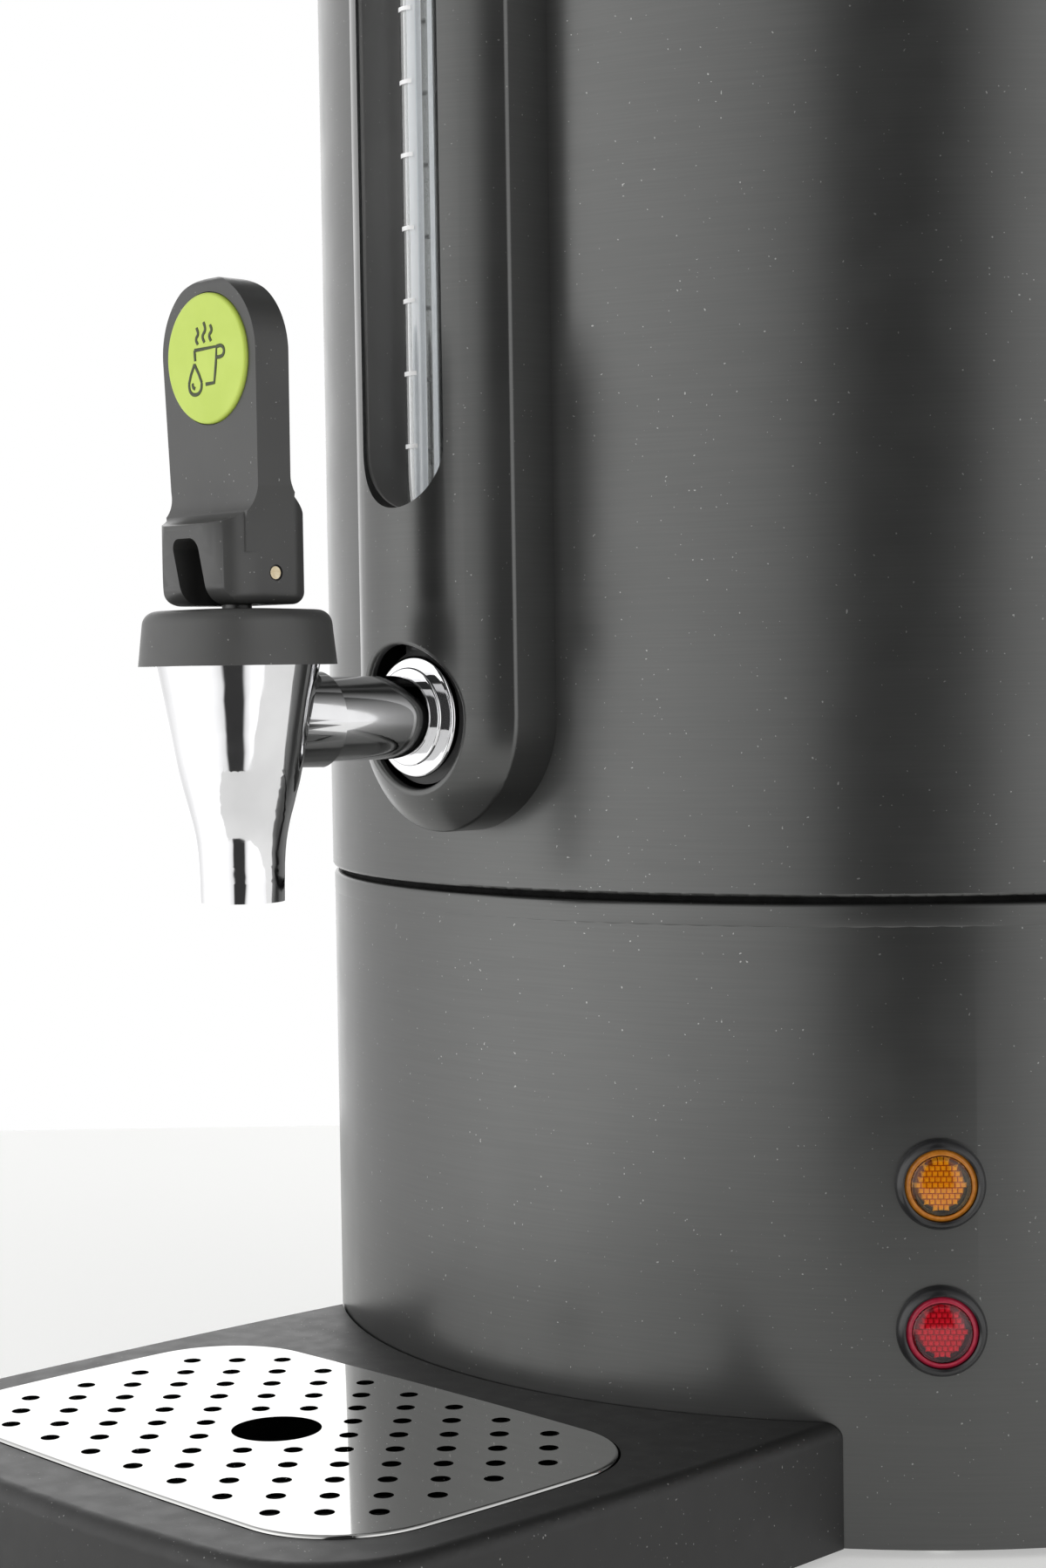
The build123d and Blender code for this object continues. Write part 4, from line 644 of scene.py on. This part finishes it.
def prism_shape():
    """One small square prism with sloping sides."""
    bm = bmesh.new()
    half, crown, rise = GRID_PITCH * 0.42, GRID_PITCH * 0.28, 0.0006
    corners = ((-1, -1), (1, -1), (1, 1), (-1, 1))
    low_ring = [bm.verts.new((x * half, y * half, 0)) for x, y in corners]
    high_ring = [bm.verts.new((x * crown, y * crown, rise)) for x, y in corners]
    bm.faces.new(low_ring[::-1])
    bm.faces.new(high_ring)
    for k in range(4):
        after = (k + 1) % 4
        bm.faces.new((low_ring[k], low_ring[after], high_ring[after], high_ring[k]))
    return mesh_of("lamp prism", bm)


def prism_places():
    """The prisms' places, in rows that step sideways by half a prism, within a circle."""
    rows = [(row * GRID_PITCH, (row % 2) / 2) for row in range(-4, 5)]
    places = [((k + shift) * GRID_PITCH, y, GRID_FOOT) for y, shift in rows for k in range(-5, 5)]
    return [place for place in places if hypot(place[0], place[1]) < GRID_RADIUS]


def lamp_lens(side, glass, colours):
    """A domed clear cover in a coloured collar, over a small waffle of square prisms."""
    place = lamp_place(f"{side}_lamp_lens")
    dome = [
        (0, 0), (0.0026, -0.0001), (0.0046, -0.0004), (0.0056, -0.0007), (DOME_RADIUS, -0.0010),
        (DOME_RADIUS, -0.0018), (0.0046, -0.0012), (0.0026, -COVER_WALL - 0.0001), (0, -COVER_WALL),
    ]
    cover = piece_from(f"{side}_lamp_cover", turned("cover", dome, place), glass, "urn")
    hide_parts(f"{side}_lamp_lens")
    collar = [
        (DOME_RADIUS - 0.0004, -0.0019), (DOME_RADIUS, -0.0010), (LENS_RADIUS - 0.0006, -0.0013),
        (LENS_RADIUS - 0.0002, -0.0015), (LENS_RADIUS, -0.0019), (LENS_RADIUS, LAMP_FLOOR),
        (DOME_RADIUS - 0.0004, LAMP_FLOOR),
    ]
    tube = prism_plastic(f"{side} lamp tube plastic", *colours["tube"])
    piece_from(f"{side}_lamp_collar", turned("collar", collar, place), tube, "urn")
    brim = DOME_RADIUS - 0.00042
    well = [
        (0, LAMP_FLOOR), (LINING_RADIUS, LAMP_FLOOR), (LINING_RADIUS, -0.0021), (brim, -0.0021),
        (brim, -0.0050), (0, -0.0050),
    ]
    black = FINISHES["bezel_black"]
    piece_from(f"{side}_lamp_well", turned("well", well, place), black, "urn")
    puck = [(0, GRID_FOOT), (GRID_RADIUS, GRID_FOOT), (GRID_RADIUS, LAMP_FLOOR), (0, LAMP_FLOOR)]
    gaps = prism_plastic(f"{side} lamp gap plastic", *colours["gaps"])
    piece_from(f"{side}_lamp_puck", turned("puck", puck, place), gaps, "urn")
    grid = prism_plastic(f"{side} lamp grid plastic", *colours["grid"])
    waffle = repeated(f"{side}_lamp_waffle", prism_shape(), prism_places(), grid)
    waffle.transform(place)
    piece_from(f"{side}_lamp_waffle", waffle, grid, "urn")


def lamp_lenses():
    """The amber lamp above and the red lamp below."""
    lamp_lens("upper", FINISHES["lens_amber"], AMBER_TONES)
    lamp_lens("lower", FINISHES["lens_red"], RED_TONES)


# ---- seam and slot -------------------------------------------------------------------------------
BASE_LIP_BEND, SHELL_LIP_BEND = 1.2 * MM, 0.9 * MM
LIP_PROUD = 0.00004
SLOT_BOTTOM, SLOT_TOP, SLOT_HALF_WIDTH = 0.2158, 0.3820, 0.0130
SLOT_ROUND_ACROSS, SLOT_ROUND_DEEP = 0.0087, 0.0107
SLOT_CLEARANCE = 0.00002  # of the rounding from the slot's floor and walls


def seam_lips():
    """The finely turned edges of the base and of the upper shell at their joint."""
    radius = max(corner.co.xy.length for corner in NODES["base_shell"].data.vertices)
    upright = Matrix.Identity(4)
    steps = 8
    for name, edge, up, bend in (
        ("base_lip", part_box("base_shell")[1].z, -1, BASE_LIP_BEND),
        ("shell_lip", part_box("outer_shell")[0].z, 1, SHELL_LIP_BEND),
    ):
        middle, level = radius - bend, edge + up * bend
        outer = bend + LIP_PROUD
        turns = [pi / 2 * k / steps for k in range(steps + 1)]
        arc = [(middle + outer * cos(turn), level - up * outer * sin(turn)) for turn in turns]
        back = [
            (middle, level + up * 0.0001), (radius - 0.0006, level + up * 0.0001),
            (radius - 0.0003, edge + up * 0.006), (radius + LIP_PROUD * 0.6, edge + up * 0.0045),
        ]
        mesh = turned(name, arc + back, upright, 720)
        piece_from(name, mesh, FINISHES["body_paint"], "urn")


def slot_rounding():
    """The slot's floor curves up into its walls all the way round, like a shallow trough."""
    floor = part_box("gauge_scale")[1].y
    bottom, top = SLOT_BOTTOM + SLOT_HALF_WIDTH, SLOT_TOP - SLOT_HALF_WIDTH
    half, steps, turns = SLOT_HALF_WIDTH - SLOT_CLEARANCE, 16, 48
    walls = []
    for end, start in ((top, 0), (bottom, pi)):
        for k in range(turns + 1):
            turn = start + pi * k / turns
            walls.append((cos(turn), sin(turn), end))
    bm = bmesh.new()
    columns = []
    for along, up, end in walls:
        column = []
        for k in range(steps + 1):
            bend = pi / 2 * k / steps
            reach = half - SLOT_ROUND_ACROSS * (1 - cos(bend))
            depth = floor - SLOT_ROUND_DEEP * (1 - sin(bend)) - SLOT_CLEARANCE
            column.append(bm.verts.new((along * reach, depth, end + up * reach)))
        column.append(bm.verts.new((along * half, floor - SLOT_CLEARANCE / 2, end + up * half)))
        columns.append(column)
    for one, two in zip(columns, columns[1:] + columns[:1]):
        for k in range(len(one)):
            after = (k + 1) % len(one)
            bm.faces.new((one[k], two[k], two[after], one[after]))
    mesh = mesh_of("slot_rounding", bm, smooth=True)
    plastic = moulded_black("slot plastic", 0.32, 0.16)
    piece_from("slot_rounding", mesh, plastic, "urn")


def valve_spring():
    """The tap's spring, pressed together against the cap, as one joined and smoothly shaded mesh in
    place of the imported one.
    """
    coil = bmesh.new()
    coil.from_mesh(NODES["valve_spring"].data)
    bmesh.ops.remove_doubles(coil, verts=coil.verts, dist=0.000001)
    mesh = mesh_of("pressed_spring", coil, smooth=True)
    spring = piece_from("pressed_spring", mesh, FINISHES["steel"], "urn")
    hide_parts("valve_spring")
    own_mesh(spring)


# ---- switch --------------------------------------------------------------------------------------
SWITCH_MARK_RISE = 7.5 * MM  # of each mark from the rocker's middle
SWITCH_INK_LIFT, SWITCH_INK_DEPTH = 0.00003, 0.00002


def laid_on(node, mesh, along, lift):
    """Lays a flat mesh on the node's surface, seen along this direction."""
    surface = NODES[node].data
    corners = [corner.co for corner in surface.vertices]
    tree = BVHTree.FromPolygons(corners, [face.vertices[:] for face in surface.polygons])
    along = Vector(along)
    for vert in mesh.vertices:
        spot = tree.ray_cast(vert.co - along * 0.05, along)[0]
        vert.co = spot - along * lift


def ring_sheet(radii, steps=40):
    """A flat ring across Y."""
    bm = bmesh.new()
    turns = [2 * pi * k / steps for k in range(steps)]
    inner, outer = (
        [bm.verts.new((r * cos(turn), 0, r * sin(turn))) for turn in turns] for r in radii
    )
    for k in range(steps):
        after = (k + 1) % steps
        bm.faces.new((inner[k], outer[k], outer[after], inner[after]))
    return bm


def bar_sheet(half_width, height, rows=8):
    """A flat upright bar across Y."""
    bm = bmesh.new()
    levels = [-height / 2 + height * k / rows for k in range(rows + 1)]
    left, right = ([bm.verts.new((x, 0, z)) for z in levels] for x in (-half_width, half_width))
    for k in range(rows):
        bm.faces.new((left[k], right[k], right[k + 1], left[k + 1]))
    return bm


def sum_of_corners(part):
    """Where a corner, an edge or a face is, as the sum of its corners' places."""
    return tuple(sum((corner.co for corner in getattr(part, "verts", [part])), Vector()))


def in_fixed_order(bm):
    """Lists the bmesh's elements by place, because solidify lists them otherwise on each run."""
    for parts in (bm.verts, bm.edges, bm.faces):
        ranks = {part: rank for rank, part in enumerate(sorted(parts, key=sum_of_corners))}
        parts.sort(key=ranks.get)


def switch_marks():
    """The bar and the ring that mark on and off on the rocker."""
    low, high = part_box("switch_rocker")
    centre = (low + high) / 2
    white = printed_white()
    for name, rise, sheet in (
        ("bar", SWITCH_MARK_RISE, bar_sheet(0.0003, 0.0038)),
        ("ring", -SWITCH_MARK_RISE, ring_sheet((0.0013, 0.0019))),
    ):
        mesh = mesh_of(f"switch_{name}", sheet)
        mesh.transform(Matrix.Translation((centre.x, high.y, centre.z + rise)))
        laid_on("switch_rocker", mesh, (0, -1, 0), SWITCH_INK_LIFT)
        thick = bmesh.new()
        thick.from_mesh(mesh)
        bmesh.ops.solidify(thick, geom=thick.faces, thickness=SWITCH_INK_DEPTH)
        in_fixed_order(thick)
        mark = mesh_of(f"switch_{name}", thick)
        piece_from(f"switch_{name}", mark, white, "rocker")


# ---- studio --------------------------------------------------------------------------------------
CAMERA_PLACE = Vector((0.45388, -0.53858, 0.18182))
CAMERA_TURN, CAMERA_DIP, CAMERA_ROLL = radians(47.322), radians(2.355), radians(-0.882)
FOCAL_PIXELS, IMAGE_HEIGHT, SENSOR_HEIGHT = 3232.87, 1798, 36
TABLE_NEAR, TABLE_DEPTH = 0.20, 1.122  # from the camera to the table's near and far edges
TABLE_LEFT, TABLE_RIGHT = 0.235, 1.6  # to either side of the camera
TABLE_GLOW = 0.42
LIGHT_ROUND = (  # brightness of the white walls by the angle from the tap towards +X
    (-180, 1.10), (-150, 1.80), (-120, 1.80), (-103, 0.95), (-90, 0.90), (-70, 1.15),
    (-45, 1.70), (-20, 1.75), (0, 1.45), (20, 1.10), (28, 0.90), (32, 0.04),
    (59, 0.04), (64, 0.9), (75, 1.4), (110, 1.2), (140, 0.9), (180, 1.10),
)


def make_camera():
    """The camera at its solved place, turned, dipped and rolled."""
    forward = Vector((
        -sin(CAMERA_TURN) * cos(CAMERA_DIP), cos(CAMERA_TURN) * cos(CAMERA_DIP), -sin(CAMERA_DIP)
    ))
    level_right = forward.cross(Vector((0, 0, 1))).normalized()
    level_up = level_right.cross(forward)
    right = cos(CAMERA_ROLL) * level_right + sin(CAMERA_ROLL) * level_up
    up = -sin(CAMERA_ROLL) * level_right + cos(CAMERA_ROLL) * level_up
    lens = bpy.data.cameras.new("camera")
    lens.sensor_fit = "VERTICAL"
    lens.sensor_height = SENSOR_HEIGHT
    lens.lens = FOCAL_PIXELS / IMAGE_HEIGHT * SENSOR_HEIGHT
    lens.clip_start = 0.01
    camera = bpy.data.objects.new("camera", lens)
    turn = Matrix((right, up, -forward)).transposed().to_4x4()
    camera.matrix_world = Matrix.Translation(CAMERA_PLACE) @ turn
    bpy.context.scene.collection.objects.link(camera)
    bpy.context.scene.camera = camera


def make_floor():
    """A pale matt table top that ends behind the urn."""
    away = Vector((-sin(CAMERA_TURN), cos(CAMERA_TURN), 0))
    side = Vector((cos(CAMERA_TURN), sin(CAMERA_TURN), 0))
    foot = Vector((CAMERA_PLACE.x, CAMERA_PLACE.y, 0))
    far = foot + away * TABLE_DEPTH
    near = foot + away * TABLE_NEAR
    left, right = side * TABLE_LEFT, side * TABLE_RIGHT
    corners = [far - left, near - left, near + right, far + right]
    mesh = bpy.data.meshes.new("table_top")
    mesh.from_pydata([tuple(corner) for corner in corners], [], [(0, 1, 2, 3)])
    top = bpy.data.objects.new("table_top", mesh)
    bpy.context.scene.collection.objects.link(top)
    cover = finish_named(
        "pale table cover", (0.60, 0.60, 0.59), Roughness=0.6, IOR=1.4,
        Emission_Color=(1, 1, 0.99, 1), Emission_Strength=TABLE_GLOW,
    )
    tone(cover, spread(cover, local_noise(cover, 3), 0, 1), (0.59, 0.59, 0.58), (0.61, 0.61, 0.60))
    mesh.materials.append(cover)


def make_world():
    """White walls round the urn with a dark gap on the camera's side, dimmer overhead."""
    world = bpy.data.worlds.new("studio")
    bpy.context.scene.world = world
    world.use_nodes = True
    nodes, links = world.node_tree.nodes, world.node_tree.links
    nodes.clear()

    def number(operation, first, second):
        """One calculation on two values, each a number or another node's result."""
        step = nodes.new("ShaderNodeMath")
        step.operation = operation
        for socket, value in zip(step.inputs, (first, second)):
            if isinstance(value, (int, float)):
                socket.default_value = value
            else:
                links.new(value, socket)
        return step.outputs["Value"]

    place = nodes.new("ShaderNodeTexCoord")
    parts = nodes.new("ShaderNodeSeparateXYZ")
    links.new(place.outputs["Generated"], parts.inputs["Vector"])
    angle = number("ARCTAN2", parts.outputs["X"], number("MULTIPLY", parts.outputs["Y"], -1))
    share = number("ADD", number("DIVIDE", angle, 2 * pi), 0.5)
    ramp = nodes.new("ShaderNodeValToRGB")
    stops = ramp.color_ramp.elements
    while len(stops) < len(LIGHT_ROUND):
        stops.new(0.5)
    for stop, (azimuth, light) in zip(stops, LIGHT_ROUND):
        stop.position = azimuth / 360 + 0.5
        stop.color = (light, light, light, 1)
    links.new(share, ramp.inputs["Fac"])
    overhead = nodes.new("ShaderNodeMapRange")
    for socket, value in (("From Min", 0.5), ("From Max", 0.85), ("To Min", 1.0), ("To Max", 0.3)):
        overhead.inputs[socket].default_value = value
    links.new(parts.outputs["Z"], overhead.inputs["Value"])
    walls = nodes.new("ShaderNodeBackground")
    links.new(ramp.outputs["Color"], walls.inputs["Color"])
    links.new(overhead.outputs["Result"], walls.inputs["Strength"])
    backdrop = nodes.new("ShaderNodeBackground")
    backdrop.inputs["Color"].default_value = (1, 1, 1, 1)
    path = nodes.new("ShaderNodeLightPath")
    shown = nodes.new("ShaderNodeMixShader")
    end = nodes.new("ShaderNodeOutputWorld")
    links.new(path.outputs["Is Camera Ray"], shown.inputs["Fac"])
    links.new(walls.outputs["Background"], shown.inputs[1])
    links.new(backdrop.outputs["Background"], shown.inputs[2])
    links.new(shown.outputs["Shader"], end.inputs["Surface"])


def make_studio():
    """Camera, table top and light, and the plain colour view."""
    make_camera()
    make_floor()
    make_world()
    bpy.context.scene.view_settings.view_transform = "Standard"


dress_nodes()
gauge_marks()
cup_pictogram()
lamp_lenses()
seam_lips()
gauge_enamel()
slot_rounding()
valve_spring()
switch_marks()
make_studio()
